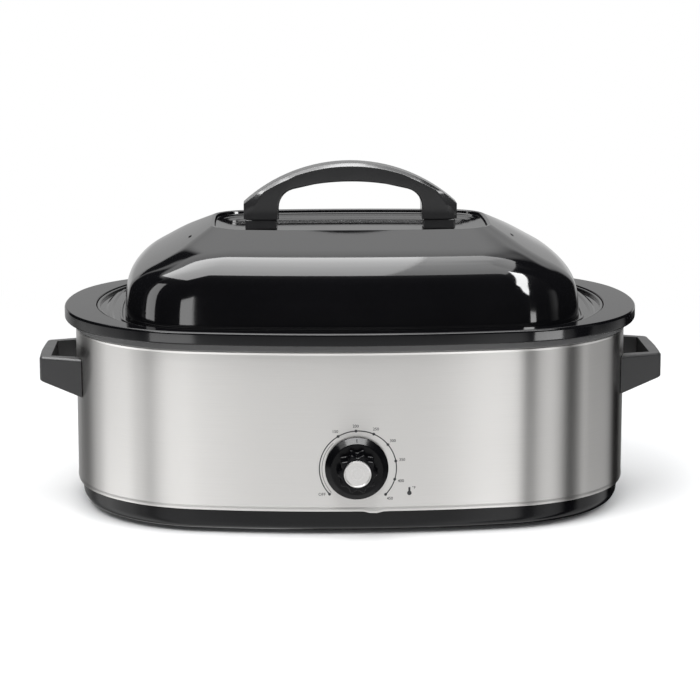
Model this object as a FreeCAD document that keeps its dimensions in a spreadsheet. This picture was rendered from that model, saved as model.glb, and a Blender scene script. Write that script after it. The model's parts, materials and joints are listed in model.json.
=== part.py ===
"""Electric roaster oven: a steel-wrapped base with a heated well, a lift-out pan and rack, and a domed lid.

Millimetres, +Z up, the front of the oven towards -Y, standing on Z = 0.  The plan of every shell is an oval
of eight tangent arcs: two shallow arcs front and rear, two rounder ones at the ends, four corners between.
"""
import FreeCAD, Part
import math
import os
import re

import Sketcher
from FreeCAD import Rotation, Vector

SIZES = {
    # plan of the lid's lower edge; the pan's and the well's walls run parallel to it
    "lid_half_width": 218.0,
    "lid_half_depth": 160.0,
    "lid_front_radius": 900.0,
    "lid_end_radius": 900.0,
    "lid_corner_radius": 77.0,
    # plan of the pan's rim, which stands out round the lid and lies in the collar
    "rim_border_width": 28.0,
    "rim_border_depth": 11.0,
    "rim_front_radius": 825.5,
    "rim_end_radius": 230.0,
    "rim_corner_radius": 86.0,
    # plan of the steel wrap, measured on its outside, which stands out round the pan's rim
    "wrap_border_width": 20.5,
    "wrap_border_depth": 4.0,
    "wrap_front_radius": 830.0,
    "wrap_end_bulge": 47.0,
    "wrap_corner_tuck": 36.0,
    # clearances
    "seat_gap": 0.3,
    "running_gap": 0.3,
    "bearing_gap": 0.08,
    "drop_in_gap": 0.5,
    # feet and base tray
    "foot_height": 4.0,
    "foot_radius": 11.0,
    "foot_spread_width": 170.0,
    "foot_spread_depth": 95.0,
    "foot_chamfer": 1.5,
    "foot_recess_radius": 5.0,
    "foot_recess_depth": 3.5,
    "foot_screw_length": 12.0,
    "tray_inset": 4.5,
    "tray_height": 22.0,
    "tray_wall": 2.0,
    "tray_edge_radius": 9.0,
    "tray_ledge_height": 2.0,
    # wrap and collar
    "wrap_bottom": 24.0,
    "wrap_thickness": 0.6,
    "collar_top": 192.0,
    "collar_height": 12.0,
    "collar_overhang": 10.6,
    "collar_edge_radius": 2.5,
    "collar_ledge_depth": 5.0,
    "collar_lip": 2.0,
    "skirt_height": 6.7,
    "skirt_thickness": 1.7,
    # heated well
    "well_inset": 1.0,
    "well_bottom": 75.0,
    "well_sheet": 0.8,
    "well_edge_radius": 25.0,
    "heater_rise": 27.0,
    "heater_height": 45.0,
    "heater_thickness": 2.0,
    "heater_tab_width": 8.0,
    "heater_tab_thickness": 1.2,
    "heater_tab_drop": 20.0,
    "heater_tab_place": 14.0,
    "blanket_margin": 10.0,
    "blanket_thickness": 8.0,
    "shield_height": 40.0,
    "shield_thickness": 1.0,
    "shield_border_width": 25.0,
    "shield_border_depth": 15.0,
    "shield_corner_radius": 20.0,
    "post_base_radius": 9.0,
    "post_radius": 6.0,
    # roasting pan
    "pan_wall_inset": 7.0,
    "pan_floor": 83.0,
    "pan_sheet": 1.0,
    "pan_edge_radius": 22.0,
    "pan_flange": 1.2,
    "outer_bead_width": 3.4,
    "outer_bead_height": 3.9,
    "inner_bead_offset": 2.0,
    "inner_bead_width": 2.6,
    "inner_bead_height": 2.8,
    # roasting rack
    "rack_end_gap": 22.0,
    "rack_side_gap": 20.0,
    "rack_corner_radius": 62.0,
    "rack_frame_radius": 2.6,
    "rack_wire_radius": 1.6,
    "rack_leg_height": 10.0,
    "rack_leg_inset": 14.0,
    "rack_leg_pitches": 4,
    "rack_wire_pitch": 24.0,
    "rack_loop_radius": 2.1,
    "rack_loop_height": 58.0,
    "rack_loop_half_width": 46.0,
    "rack_loop_bend": 14.0,
    # lid shell
    "lid_sheet": 1.0,
    "lid_height": 82.5,
    "crease_half_width": 134.0,
    "crease_half_depth": 77.5,
    "crease_corner_radius": 36.0,
    "recess_depth": 8.3,
    "recess_inset": 3.0,
    "vent_place_x": 154.0,
    "vent_place_y": 38.0,
    "vent_length": 11.0,
    "vent_width": 3.0,
    # lid handle
    "grip_half_width": 103.0,
    "grip_leg_width": 34.0,
    "grip_depth": 30.0,
    "grip_height": 54.5,
    "grip_shoulder_height": 15.0,
    "grip_inner_shoulder": 26.0,
    "grip_inner_bend": 18.0,
    "grip_thickness": 18.0,
    "grip_edge": 4.0,
    "spacer_height": 10.0,
    "spacer_shrink": 1.5,
    "screw_hole_radius": 2.5,
    "lid_screw_reach": 18.0,
    "screw_end_gap": 1.0,
    "washer_radius": 9.0,
    "washer_thickness": 1.0,
    "screw_head_radius": 4.5,
    "screw_head_height": 2.5,
    # side handles
    "handle_reach": 33.0,
    "handle_bow": 1.5,
    "handle_top": 146.0,
    "handle_inner_bottom": 109.0,
    "handle_outer_bottom": 123.0,
    "handle_root_half": 58.5,
    "handle_tip_half": 45.0,
    "handle_gap_root_half": 45.0,
    "handle_gap_tip_half": 39.0,
    "handle_bar": 11.0,
    "handle_edge": 2.0,
    "handle_screw_angle": 13.3,
    "handle_screw_height": 127.0,
    "handle_screw_length": 9.0,
    "drill_reach": 4.0,
    # control knob and thermostat
    "knob_height": 65.0,
    "knob_gap": 1.0,
    "knob_skirt_radius": 29.2,
    "knob_skirt_lip": 1.5,
    "knob_face_radius": 23.8,
    "knob_skirt_depth": 6.0,
    "knob_grip_radius": 18.4,
    "knob_depth": 24.0,
    "knob_lobes": 10,
    "knob_flute_radius": 3.2,
    "knob_socket_depth": 18.0,
    "cap_radius": 12.6,
    "cap_thickness": 1.5,
    "shaft_radius": 3.9,
    "shaft_hole_gap": 2.0,
    "shaft_depth": 10.0,
    "thermostat_width": 34.0,
    "thermostat_height": 26.0,
    "thermostat_depth": 18.0,
    "bracket_thickness": 1.5,
    "bracket_width": 40.0,
    "bracket_top": 82.0,
    "bracket_bottom": 15.0,
    # wiring and inlet
    "block_width": 40.0,
    "block_depth": 18.0,
    "block_height": 14.0,
    "block_place": 110.0,
    "lead_radius": 1.5,
    "lead_spread": 10.0,
    "lead_bend": 10.0,
    "riser_gap": 15.0,
    "fuse_radius": 4.0,
    "fuse_length": 24.0,
    "fuse_place": 40.0,
    "bulb_radius": 3.0,
    "bulb_length": 60.0,
    "bulb_place": 70.0,
    "capillary_radius": 0.9,
    "capillary_place": 14.0,
    "inlet_height": 46.0,
    "inlet_bore": 4.0,
    "inlet_radius": 8.0,
    "inlet_flange_radius": 11.0,
    "inlet_flange_thickness": 3.0,
    "inlet_neck_wall": 2.5,
    "inlet_outside": 9.0,
    "inlet_inside": 13.0,
    "inlet_nut_radius": 12.0,
    "inlet_nut_thickness": 5.0,
}

doc = FreeCAD.newDocument("roaster_oven")
sheet = doc.addObject("Spreadsheet::Sheet", "Sizes")
for row, (alias, number) in enumerate(SIZES.items(), start=1):
    sheet.set("A%d" % row, alias)
    sheet.set("B%d" % row, str(number))
    sheet.setAlias("B%d" % row, alias)
doc.recompute()

nodes = {}


def linked(formula):
    """Write each alias in the formula as a reference to the sheet."""
    return re.sub(r"[a-z]+(?:_[a-z]+)+", lambda found: "Sizes." + found.group(0), str(formula))


def value(formula):
    """Work the formula out from the sheet as it stands."""
    return float(sheet.evalExpression(linked(formula)))


def bind(thing, prop, formula):
    """Tie a property of an object to the sheet."""
    thing.setExpression(prop, linked(formula))


class Oval:
    """An oval of eight tangent arcs, its sizes given as formulas of the sheet."""

    def __init__(self, half_width, half_depth, front_radius, end_radius, corner_radius):
        self.half_width = half_width
        self.half_depth = half_depth
        self.front_radius = front_radius
        self.end_radius = end_radius
        self.corner_radius = corner_radius

    def grown(self, offset):
        """The parallel oval that lies outside this one by the offset."""
        return Oval(*["%s + (%s)" % (size, offset) for size in self.sizes()])

    def sizes(self):
        """The five formulas."""
        return self.half_width, self.half_depth, self.front_radius, self.end_radius, self.corner_radius

    def arcs(self):
        """Centre, radius and angles of the arcs, anticlockwise from the right-hand end."""
        wide, deep, front, end, corner = [value(size) for size in self.sizes()]
        end_x = wide - end
        front_y = deep - front
        apart = math.hypot(end_x, front_y)
        to_end = end - corner
        to_front = front - corner
        along = (to_end**2 - to_front**2 + apart**2) / (2 * apart)
        aside = math.sqrt(to_end**2 - along**2)
        ux, uy = -end_x / apart, front_y / apart
        centre_x = end_x + along * ux - aside * uy
        centre_y = along * uy + aside * ux
        if centre_y < 0 or centre_x < 0:
            centre_x = end_x + along * ux + aside * uy
            centre_y = along * uy - aside * ux
        low = math.atan2(centre_y, centre_x - end_x)
        high = math.atan2(centre_y - front_y, centre_x)
        half = math.pi
        return [
            (end_x, 0.0, end, -low, low),
            (centre_x, centre_y, corner, low, high),
            (0.0, front_y, front, high, half - high),
            (-centre_x, centre_y, corner, half - high, half - low),
            (-end_x, 0.0, end, half - low, half + low),
            (-centre_x, -centre_y, corner, half + low, half + high),
            (0.0, -front_y, front, half + high, 2 * half - high),
            (centre_x, -centre_y, corner, 2 * half - high, 2 * half - low),
        ]


def plan(name, half_width, half_depth):
    """The oval of these half axes whose three radii stand in the sheet under this name."""
    radii = ["%s_%s_radius" % (name, part) for part in ("front", "end", "corner")]
    return Oval(half_width, half_depth, *radii)


RIM_HALF_WIDTH = "lid_half_width + rim_border_width"
RIM_HALF_DEPTH = "lid_half_depth + rim_border_depth"
HALF_WIDTH = "(%s + wrap_border_width)" % RIM_HALF_WIDTH
HALF_DEPTH = "(%s + wrap_border_depth)" % RIM_HALF_DEPTH

LID = plan("lid", "lid_half_width", "lid_half_depth")
RIM = plan("rim", RIM_HALF_WIDTH, RIM_HALF_DEPTH)
WRAP_END_RADIUS = "(%s + wrap_end_bulge)" % HALF_DEPTH
WRAP_CORNER_RADIUS = "(%s - wrap_corner_tuck)" % HALF_DEPTH
BODY = Oval(HALF_WIDTH, HALF_DEPTH, "wrap_front_radius", WRAP_END_RADIUS, WRAP_CORNER_RADIUS)
WELL = LID.grown("-well_inset")
PAN = LID.grown("-pan_wall_inset")
WRAP_INSIDE = BODY.grown("-wrap_thickness")
CREASE = Oval(
    "crease_half_width",
    "crease_half_depth",
    "lid_front_radius",
    "lid_end_radius",
    "crease_corner_radius",
)

TRAY_FLOOR = "foot_height + tray_wall"
COLLAR_BOTTOM = "collar_top - collar_height"
PAN_SEAT = "collar_top - collar_ledge_depth + seat_gap"
PAN_FLANGE_TOP = PAN_SEAT + " + pan_flange"
PAN_FLOOR_TOP = "pan_floor + pan_sheet"
LID_SEAT = PAN_FLANGE_TOP + " + seat_gap"
LID_TOP = LID_SEAT + " + lid_height"
RECESS_FLOOR = LID_TOP + " - recess_depth"
GRIP_BOTTOM = RECESS_FLOOR + " + spacer_height"
SETBACK = "tray_inset + tray_wall + drop_in_gap"
BRACKET_FRONT = HALF_DEPTH + " - (%s)" % SETBACK
THERMOSTAT_FRONT = BRACKET_FRONT + " - bracket_thickness"
SHIELD_HALF_DEPTH = "(foot_spread_depth + shield_border_depth)"
HEATER_BOTTOM = "(knob_height + thermostat_height / 2 + heater_rise)"


# ---------------------------------------------------------------- sketches


def new_body(name):
    """An empty body; a node when its name is kept as a label in the end."""
    body = doc.addObject("PartDesign::Body", name)
    body.Label = name
    return body


def sketch_on(body, role, offset="0"):
    """A sketch on one of the body's origin planes, moved along the plane's normal."""
    sketch = body.newObject("Sketcher::SketchObject", body.Name + "_sketch")
    plane = [feature for feature in body.Origin.OriginFeatures if feature.Role == role][0]
    sketch.AttachmentSupport = (plane, "")
    sketch.MapMode = "FlatFace"
    bind(sketch, "AttachmentOffset.Base.z", offset)
    return sketch


def dimension(sketch, kind, formula, *places):
    """Add a driving dimension to the sketch and tie it to the sheet."""
    index = sketch.addConstraint(Sketcher.Constraint(kind, *places, value(formula)))
    sketch.setExpression("Constraints[%d]" % index, linked(formula))


def draw_oval(sketch, oval):
    """Draw the oval, fully constrained."""
    edges = []
    for centre_x, centre_y, radius, begin, end in oval.arcs():
        circle = Part.Circle(Vector(centre_x, centre_y, 0), Vector(0, 0, 1), radius)
        edges.append(sketch.addGeometry(Part.ArcOfCircle(circle, begin, end)))
    for edge, following in zip(edges, edges[1:] + edges[:1]):
        sketch.addConstraint(Sketcher.Constraint("Tangent", edge, 2, following, 1))
    right, rear, left, front = edges[0::2]
    for edge in (right, left):
        sketch.addConstraint(Sketcher.Constraint("PointOnObject", edge, 3, -1))
    for edge in (rear, front):
        sketch.addConstraint(Sketcher.Constraint("PointOnObject", edge, 3, -2))
    for edge, size in ((right, oval.end_radius), (left, oval.end_radius)):
        dimension(sketch, "Radius", size, edge)
    for edge, size in ((rear, oval.front_radius), (front, oval.front_radius)):
        dimension(sketch, "Radius", size, edge)
    for edge in edges[1::2]:
        dimension(sketch, "Radius", oval.corner_radius, edge)
    across = "(%s) - (%s)" % (oval.half_width, oval.end_radius)
    deep = "(%s) - (%s)" % (oval.half_depth, oval.front_radius)
    dimension(sketch, "DistanceX", across, right, 3)
    dimension(sketch, "DistanceX", "-(%s)" % across, left, 3)
    dimension(sketch, "DistanceY", deep, rear, 3)
    dimension(sketch, "DistanceY", "-(%s)" % deep, front, 3)


def draw_circle(sketch, radius, across="0", up="0"):
    """Draw a circle at a place given by formulas."""
    centre = Vector(value(across), value(up), 0)
    edge = sketch.addGeometry(Part.Circle(centre, Vector(0, 0, 1), value(radius)))
    dimension(sketch, "Radius", radius, edge)
    dimension(sketch, "DistanceX", across, edge, 3)
    dimension(sketch, "DistanceY", up, edge, 3)


def draw_outline(sketch, corners):
    """Draw a closed outline; a corner is (across, up) or (across, up, radius of the arc that leads to it).

    A positive radius bulges to the right of the way round, a negative one to the left.
    """
    places = [Vector(value(corner[0]), value(corner[1]), 0) for corner in corners]
    edges = []
    for index, corner in enumerate(corners):
        begin, end = places[index - 1], places[index]
        if len(corner) == 2:
            edges.append((sketch.addGeometry(Part.LineSegment(begin, end)), 1, 2))
            continue
        radius = value(corner[2])
        chord = end - begin
        depth = abs(radius) - math.sqrt(radius**2 - (chord.Length / 2) ** 2)
        side = Vector(chord.y, -chord.x, 0).normalize() * math.copysign(depth, radius)
        arc = Part.Arc(begin, begin + chord / 2 + side, end)
        edge = sketch.addGeometry(arc)
        start = sketch.getPoint(edge, 1)
        forwards = start.distanceToPoint(begin) < start.distanceToPoint(end)
        edges.append((edge, 1, 2) if forwards else (edge, 2, 1))
    for index, corner in enumerate(corners):
        edge, begin, end = edges[index]
        following, start, _ = edges[(index + 1) % len(edges)]
        sketch.addConstraint(Sketcher.Constraint("Coincident", edge, end, following, start))
        dimension(sketch, "DistanceX", corner[0], edge, end)
        dimension(sketch, "DistanceY", corner[1], edge, end)
        if len(corner) == 3:
            dimension(sketch, "Radius", corner[2].lstrip("-"), edge)


# ---------------------------------------------------------------- features


def pad(body, sketch, length, backwards=False, both_ways=False):
    """Pad the sketch along its plane's normal."""
    feature = body.newObject("PartDesign::Pad", body.Name + "_pad")
    feature.Profile = sketch
    bind(feature, "Length", length)
    feature.Reversed = backwards
    feature.Midplane = both_ways
    doc.recompute()
    return feature


def pocket(body, sketch, length, backwards=False, both_ways=False):
    """Cut the sketch out of the body, to a depth against its plane's normal."""
    before = body.Shape.Volume
    feature = body.newObject("PartDesign::Pocket", body.Name + "_pocket")
    feature.Profile = sketch
    bind(feature, "Length", length)
    feature.Reversed = backwards
    feature.Midplane = both_ways
    doc.recompute()
    if body.Shape.Volume >= before:
        raise RuntimeError("%s cuts nothing" % feature.Name)
    return feature


def edges_at(shape, level):
    """Names of the edges that lie flat at this height."""
    names = []
    for index, edge in enumerate(shape.Edges, start=1):
        box = edge.BoundBox
        if abs(box.ZMin - level) < 1e-4 and abs(box.ZMax - level) < 1e-4:
            names.append("Edge%d" % index)
    return names


def fillet(body, names, radius):
    """Round the named edges of the body as it stands."""
    base = body.Tip
    feature = body.newObject("PartDesign::Fillet", body.Name + "_fillet")
    feature.Base = (base, names)
    bind(feature, "Radius", radius)
    doc.recompute()
    return feature


def chamfer(body, names, size):
    """Chamfer the named edges of the body as it stands."""
    base = body.Tip
    feature = body.newObject("PartDesign::Chamfer", body.Name + "_chamfer")
    feature.Base = (base, names)
    bind(feature, "Size", size)
    doc.recompute()
    return feature


def hollow(body, level, wall):
    """Open the body's flat face at this height and leave a wall of even thickness inside its outline."""
    base = body.Tip
    faces = [
        "Face%d" % index
        for index, face in enumerate(base.Shape.Faces, start=1)
        if abs(face.BoundBox.ZMin - level) < 1e-4 and abs(face.BoundBox.ZMax - level) < 1e-4
    ]
    feature = body.newObject("PartDesign::Thickness", body.Name + "_hollow")
    feature.Base = (base, faces)
    bind(feature, "Value", wall)
    feature.Reversed = True
    feature.Join = 1
    doc.recompute()
    return feature


def pad_plan(body, ovals, bottom, height):
    """Pad one oval, or the band between two, from a height upwards."""
    sketch = sketch_on(body, "XY_Plane", bottom)
    for oval in ovals:
        draw_oval(sketch, oval)
    return pad(body, sketch, height)


def turned(name, profile):
    """A body turned about +Z from (radius, height) corners."""
    body = new_body(name)
    sketch = sketch_on(body, "XZ_Plane")
    draw_outline(sketch, profile)
    feature = body.newObject("PartDesign::Revolution", body.Name + "_turn")
    feature.Profile = sketch
    feature.ReferenceAxis = (sketch, ["V_Axis"])
    feature.Angle = 360
    doc.recompute()
    return body


def place(thing, x="0", y="0", z="0", rotation=None):
    """Put an object at a place given by formulas, turned if need be."""
    if rotation is not None:
        thing.Placement = FreeCAD.Placement(Vector(), rotation)
    for letter, formula in zip("xyz", (x, y, z)):
        bind(thing, "Placement.Base." + letter, formula)
    return thing


def rod(name, radius, length):
    """A plain cylinder along +Z from the origin."""
    cylinder = doc.addObject("Part::Cylinder", name)
    bind(cylinder, "Radius", radius)
    bind(cylinder, "Height", length)
    return cylinder


def block(name, width, depth, height):
    """A plain box from the origin along +X, +Y and +Z."""
    box = doc.addObject("Part::Box", name)
    bind(box, "Length", width)
    bind(box, "Width", depth)
    bind(box, "Height", height)
    return box


def cut(name, base, tools):
    """The base without the tools."""
    tool = tools[0]
    if len(tools) > 1:
        tool = doc.addObject("Part::MultiFuse", name + "_tools")
        tool.Shapes = tools
    result = doc.addObject("Part::Cut", name + "_cut")
    result.Base = base
    result.Tool = tool
    doc.recompute()
    if result.Shape.Volume >= base.Shape.Volume:
        raise RuntimeError("%s is not cut" % name)
    return result


def group(name, pieces):
    """Identical pieces in one node."""
    compound = doc.addObject("Part::Compound", name + "_group")
    compound.Links = pieces
    doc.recompute()
    return compound


def keep(name, thing):
    """Make an object a node, under the node's name."""
    for other in doc.Objects:
        if other is not thing and other.Label == name:
            other.Label = name + "_stock"
    thing.Label = name
    nodes[name] = thing


TO_FRONT = Rotation(Vector(1, 0, 0), 90)
TO_REAR = Rotation(Vector(1, 0, 0), -90)
CORNERS = [(1, 1), (-1, 1), (-1, -1), (1, -1)]


def screw(name, length):
    """A pan-head screw whose shank points up from under its head."""
    return turned(
        name,
        [
            ("0", "-screw_head_height"),
            ("screw_head_radius", "-screw_head_height"),
            ("screw_head_radius", "0"),
            ("screw_hole_radius - running_gap", "0"),
            ("screw_hole_radius - running_gap", length),
            ("0", length),
        ],
    )


# ---------------------------------------------------------------- base


def make_base_tray():
    """The black tray that closes the base from below, with a ledge inside the wrap's foot."""
    body = new_body("base_tray")
    pad_plan(body, [BODY.grown("-tray_inset")], "foot_height", "tray_height")
    fillet(body, edges_at(body.Shape, value("foot_height")), "tray_edge_radius")
    hollow(body, value("foot_height + tray_height"), "tray_wall")
    ledge = [WRAP_INSIDE.grown("-running_gap"), BODY.grown("-tray_inset - tray_wall")]
    pad_plan(body, ledge, "foot_height + tray_height - tray_ledge_height", "tray_ledge_height")
    holes = sketch_on(body, "XY_Plane")
    for right, rear in CORNERS:
        draw_circle(
            holes,
            "screw_hole_radius",
            "%d * foot_spread_width" % right,
            "%d * foot_spread_depth" % rear,
        )
    pocket(body, holes, "foot_height + 2 * tray_wall", backwards=True)
    keep("base_tray", body)


def make_feet():
    """Four rubber feet, each held by a screw from below that runs up into a post."""
    feet, screws = [], []
    for index, (right, rear) in enumerate(CORNERS, start=1):
        foot = turned(
            "foot_%d" % index,
            [
                ("foot_recess_radius", "0"),
                ("foot_radius - foot_chamfer", "0"),
                ("foot_radius", "foot_chamfer"),
                ("foot_radius", "foot_height"),
                ("screw_hole_radius", "foot_height"),
                ("screw_hole_radius", "foot_recess_depth"),
                ("foot_recess_radius", "foot_recess_depth"),
            ],
        )
        across = "%d * foot_spread_width" % right
        back = "%d * foot_spread_depth" % rear
        feet.append(place(foot, across, back))
        pin = screw("foot_screw_%d" % index, "foot_screw_length")
        screws.append(place(pin, across, back, "foot_recess_depth"))
    keep("rubber_feet", group("rubber_feet", feet))
    keep("foot_screws", group("foot_screws", screws))


def make_posts():
    """Four posts that carry the well on the tray; the heat shield sits on their shoulders."""
    posts = []
    for index, (right, rear) in enumerate(CORNERS, start=1):
        post = turned(
            "post_%d" % index,
            [
                ("screw_hole_radius", TRAY_FLOOR),
                ("post_base_radius", TRAY_FLOOR),
                ("post_base_radius", "shield_height"),
                ("post_radius", "shield_height"),
                ("post_radius", "well_bottom"),
                ("screw_hole_radius", "well_bottom"),
            ],
        )
        posts.append(place(post, "%d * foot_spread_width" % right, "%d * foot_spread_depth" % rear))
    keep("well_posts", group("well_posts", posts))


def make_heat_shield():
    """A flat plate between the well and the wiring."""
    body = new_body("heat_shield")
    sketch = sketch_on(body, "XY_Plane", "shield_height")
    wide = "(foot_spread_width + shield_border_width)"
    deep = SHIELD_HALF_DEPTH
    bend = "shield_corner_radius"
    inner_wide = "%s - %s" % (wide, bend)
    inner_deep = "%s - %s" % (deep, bend)
    draw_outline(
        sketch,
        [
            (wide, "-(%s)" % inner_deep, bend),
            (wide, inner_deep),
            (inner_wide, deep, bend),
            ("-(%s)" % inner_wide, deep),
            ("-" + wide, inner_deep, bend),
            ("-" + wide, "-(%s)" % inner_deep),
            ("-(%s)" % inner_wide, "-" + deep, bend),
            (inner_wide, "-" + deep),
        ],
    )
    for right, rear in CORNERS:
        draw_circle(
            sketch,
            "post_radius + running_gap",
            "%d * foot_spread_width" % right,
            "%d * foot_spread_depth" % rear,
        )
    pad(body, sketch, "shield_thickness")
    keep("heat_shield", body)


def make_outer_wrap():
    """The stainless wrap, pierced for the thermostat's shaft, the cord inlet and the handles' screws."""
    body = new_body("wrap_band")
    pad_plan(body, [BODY, WRAP_INSIDE], "wrap_bottom", COLLAR_BOTTOM + " - wrap_bottom")
    shaft_hole = sketch_on(body, "XZ_Plane")
    draw_circle(shaft_hole, "shaft_radius + shaft_hole_gap", "0", "knob_height")
    pocket(body, shaft_hole, "2 * " + HALF_DEPTH, backwards=True)
    inlet_hole = sketch_on(body, "XZ_Plane")
    draw_circle(inlet_hole, "inlet_radius + running_gap", "0", "inlet_height")
    pocket(body, inlet_hole, "2 * " + HALF_DEPTH)
    drills = handle_screw_rods("wrap_drill", "-drill_reach", "2 * drill_reach")
    keep("outer_wrap", cut("outer_wrap", body, drills))


def make_top_rim():
    """The black collar on the wrap: an overhanging flange, a ledge for the pan and a short skirt."""
    body = new_body("top_rim")
    inside = LID.grown("collar_lip")
    pad_plan(body, [BODY.grown("collar_overhang"), inside], COLLAR_BOTTOM, "collar_height")
    outer_top = [
        name
        for name in edges_at(body.Shape, value("collar_top"))
        if outside_of(body.Shape.getElement(name), BODY)
    ]
    fillet(body, outer_top, "collar_edge_radius")
    well = sketch_on(body, "XY_Plane", "collar_top")
    draw_oval(well, RIM.grown("drop_in_gap"))
    pocket(body, well, "collar_ledge_depth")
    skirt = [BODY.grown("running_gap + skirt_thickness"), BODY.grown("running_gap")]
    pad_plan(body, skirt, COLLAR_BOTTOM + " - skirt_height", "skirt_height")
    keep("top_rim", body)


def outside_of(edge, oval):
    """Whether the middle of an edge lies outside the oval's two half axes."""
    middle = edge.valueAt((edge.FirstParameter + edge.LastParameter) / 2)
    return math.hypot(middle.x / value(oval.half_width), middle.y / value(oval.half_depth)) > 1.02


# ---------------------------------------------------------------- heated well


def make_well_liner():
    """The deep-drawn steel well that hangs from the collar and stands on the posts."""
    body = new_body("well_liner")
    pad_plan(body, [WELL], "well_bottom", COLLAR_BOTTOM + " - well_bottom")
    fillet(body, edges_at(body.Shape, value("well_bottom")), "well_edge_radius")
    hollow(body, value(COLLAR_BOTTOM), "well_sheet")
    flange = [WRAP_INSIDE.grown("-running_gap"), WELL.grown("-well_sheet")]
    pad_plan(body, flange, COLLAR_BOTTOM + " - well_sheet", "well_sheet")
    keep("well_liner", body)


def make_band_heater():
    """The flat band heater around the well, with a terminal tab hanging down front and rear."""
    body = new_body("band_heater")
    inside = WELL.grown("running_gap")
    outside = inside.grown("heater_thickness")
    pad_plan(body, [outside, inside], HEATER_BOTTOM, "heater_height")
    middle = inside.half_depth + " + heater_thickness / 2"
    for rear in (1, -1):
        sketch = sketch_on(body, "XY_Plane", HEATER_BOTTOM)
        low = "%d * (%s) - heater_tab_thickness / 2" % (rear, middle)
        high = "%d * (%s) + heater_tab_thickness / 2" % (rear, middle)
        left = "heater_tab_place - heater_tab_width / 2"
        right = "heater_tab_place + heater_tab_width / 2"
        draw_outline(sketch, [(left, low), (right, low), (right, high), (left, high)])
        pad(body, sketch, "heater_tab_drop", backwards=True)
    keep("band_heater", body)


def make_blanket():
    """The insulation around the heater."""
    body = new_body("insulation_blanket")
    inside = WELL.grown("heater_thickness + 2 * running_gap")
    bottom = HEATER_BOTTOM + " - blanket_margin"
    height = "heater_height + 2 * blanket_margin"
    pad_plan(body, [inside.grown("blanket_thickness"), inside], bottom, height)
    keep("insulation_blanket", body)


# ---------------------------------------------------------------- side handles


def screw_bearing(right, rear):
    """The way that a handle's screw points, in degrees from +X."""
    angle = value("handle_screw_angle") * rear
    return angle if right == 1 else 180 - angle


def handle_screw_rods(name, start, length):
    """Four cylinders square to the wrap at the handles' screws, from a distance off its outside."""
    rods = []
    for index, (right, rear) in enumerate(CORNERS, start=1):
        cylinder = rod("%s_%d" % (name, index), "screw_hole_radius", length)
        rods.append(place_radially(cylinder, right, screw_bearing(right, rear), start))
    return rods


def place_radially(thing, right, angle, start):
    """Lay a piece that points up square to the wrap's end, from a distance off the wrap's outside."""
    turn = Rotation(Vector(0, 0, 1), angle) * Rotation(Vector(0, 1, 0), 90)
    centre = "%d * (%s - %s)" % (right, HALF_WIDTH, WRAP_END_RADIUS)
    reach = "(%s + (%s))" % (WRAP_END_RADIUS, start)
    return place(
        thing,
        "%s + %s * %.9f" % (centre, reach, math.cos(math.radians(angle))),
        "%s * %.9f" % (reach, math.sin(math.radians(angle))),
        "handle_screw_height",
        turn,
    )


def mirrored(side, corners):
    """The outline on this side of the oven, kept anticlockwise."""
    if side == 1:
        return corners
    flipped = [("-(%s)" % corner[0],) + tuple(corner[1:]) for corner in corners]
    if len(flipped[1]) == 3:
        low, high = flipped[0], flipped[1]
        return [high[:2], low[:2] + high[2:], flipped[3], flipped[2]]
    return flipped[::-1]


def make_side_handle(name, side):
    """A moulded bail handle: two arms and a bar round a finger gap, its underside rising outwards."""
    body = new_body(name + "_moulding")
    root = HALF_WIDTH + " - 2 * handle_reach"
    tip = HALF_WIDTH + " + handle_reach"
    slant = "(handle_root_half - handle_tip_half) / handle_reach"
    gap_slant = "(handle_gap_root_half - handle_gap_tip_half) / (handle_reach - handle_bar)"
    root_half = "(handle_tip_half + 3 * handle_reach * %s)" % slant
    bow_radius = "(handle_tip_half * handle_tip_half + handle_bow * handle_bow) / (2 * handle_bow)"
    outline = sketch_on(body, "XY_Plane", "handle_inner_bottom")
    ring = [
        (tip, "-handle_tip_half"),
        (tip, "handle_tip_half", bow_radius),
        (root, root_half),
        (root, "-" + root_half),
    ]
    draw_outline(outline, mirrored(side, ring))
    pad(body, outline, "handle_top - handle_inner_bottom")

    gap = sketch_on(body, "XY_Plane", "handle_top")
    gap_tip = HALF_WIDTH + " + handle_reach - handle_bar"
    gap_root_half = "(handle_gap_tip_half + (3 * handle_reach - handle_bar) * %s)" % gap_slant
    hole = [
        (gap_tip, "-handle_gap_tip_half"),
        (gap_tip, "handle_gap_tip_half"),
        (root, gap_root_half),
        (root, "-" + gap_root_half),
    ]
    draw_outline(gap, mirrored(side, hole))
    pocket(body, gap, "handle_top - handle_inner_bottom")

    seat = sketch_on(body, "XY_Plane", "handle_top")
    draw_oval(seat, BODY.grown("running_gap"))
    pocket(body, seat, "handle_top - handle_inner_bottom")

    under = sketch_on(body, "XZ_Plane")
    rise = "(handle_outer_bottom - handle_inner_bottom) / handle_reach"
    past = "handle_reach + 2 * handle_bow"
    wedge = [
        (HALF_WIDTH, "handle_inner_bottom - handle_edge"),
        (HALF_WIDTH + " + " + past, "handle_inner_bottom - handle_edge"),
        (HALF_WIDTH + " + " + past, "handle_inner_bottom + (%s) * %s" % (past, rise)),
        (HALF_WIDTH, "handle_inner_bottom"),
    ]
    draw_outline(under, mirrored(side, wedge))
    pocket(body, under, "4 * handle_root_half", both_ways=True)
    chamfer(body, outer_top_edges(body.Shape), "handle_edge")
    return body


def outer_top_edges(shape):
    """The edges round the outside of a side handle's top, without those at the wrap or the gap."""
    names = []
    limit = value(HALF_WIDTH + " + handle_reach - handle_bar / 2")
    for name in edges_at(shape, value("handle_top")):
        edge = shape.getElement(name)
        far = max(abs(vertex.X) for vertex in edge.Vertexes)
        if far > limit:
            names.append(name)
    return names


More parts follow.
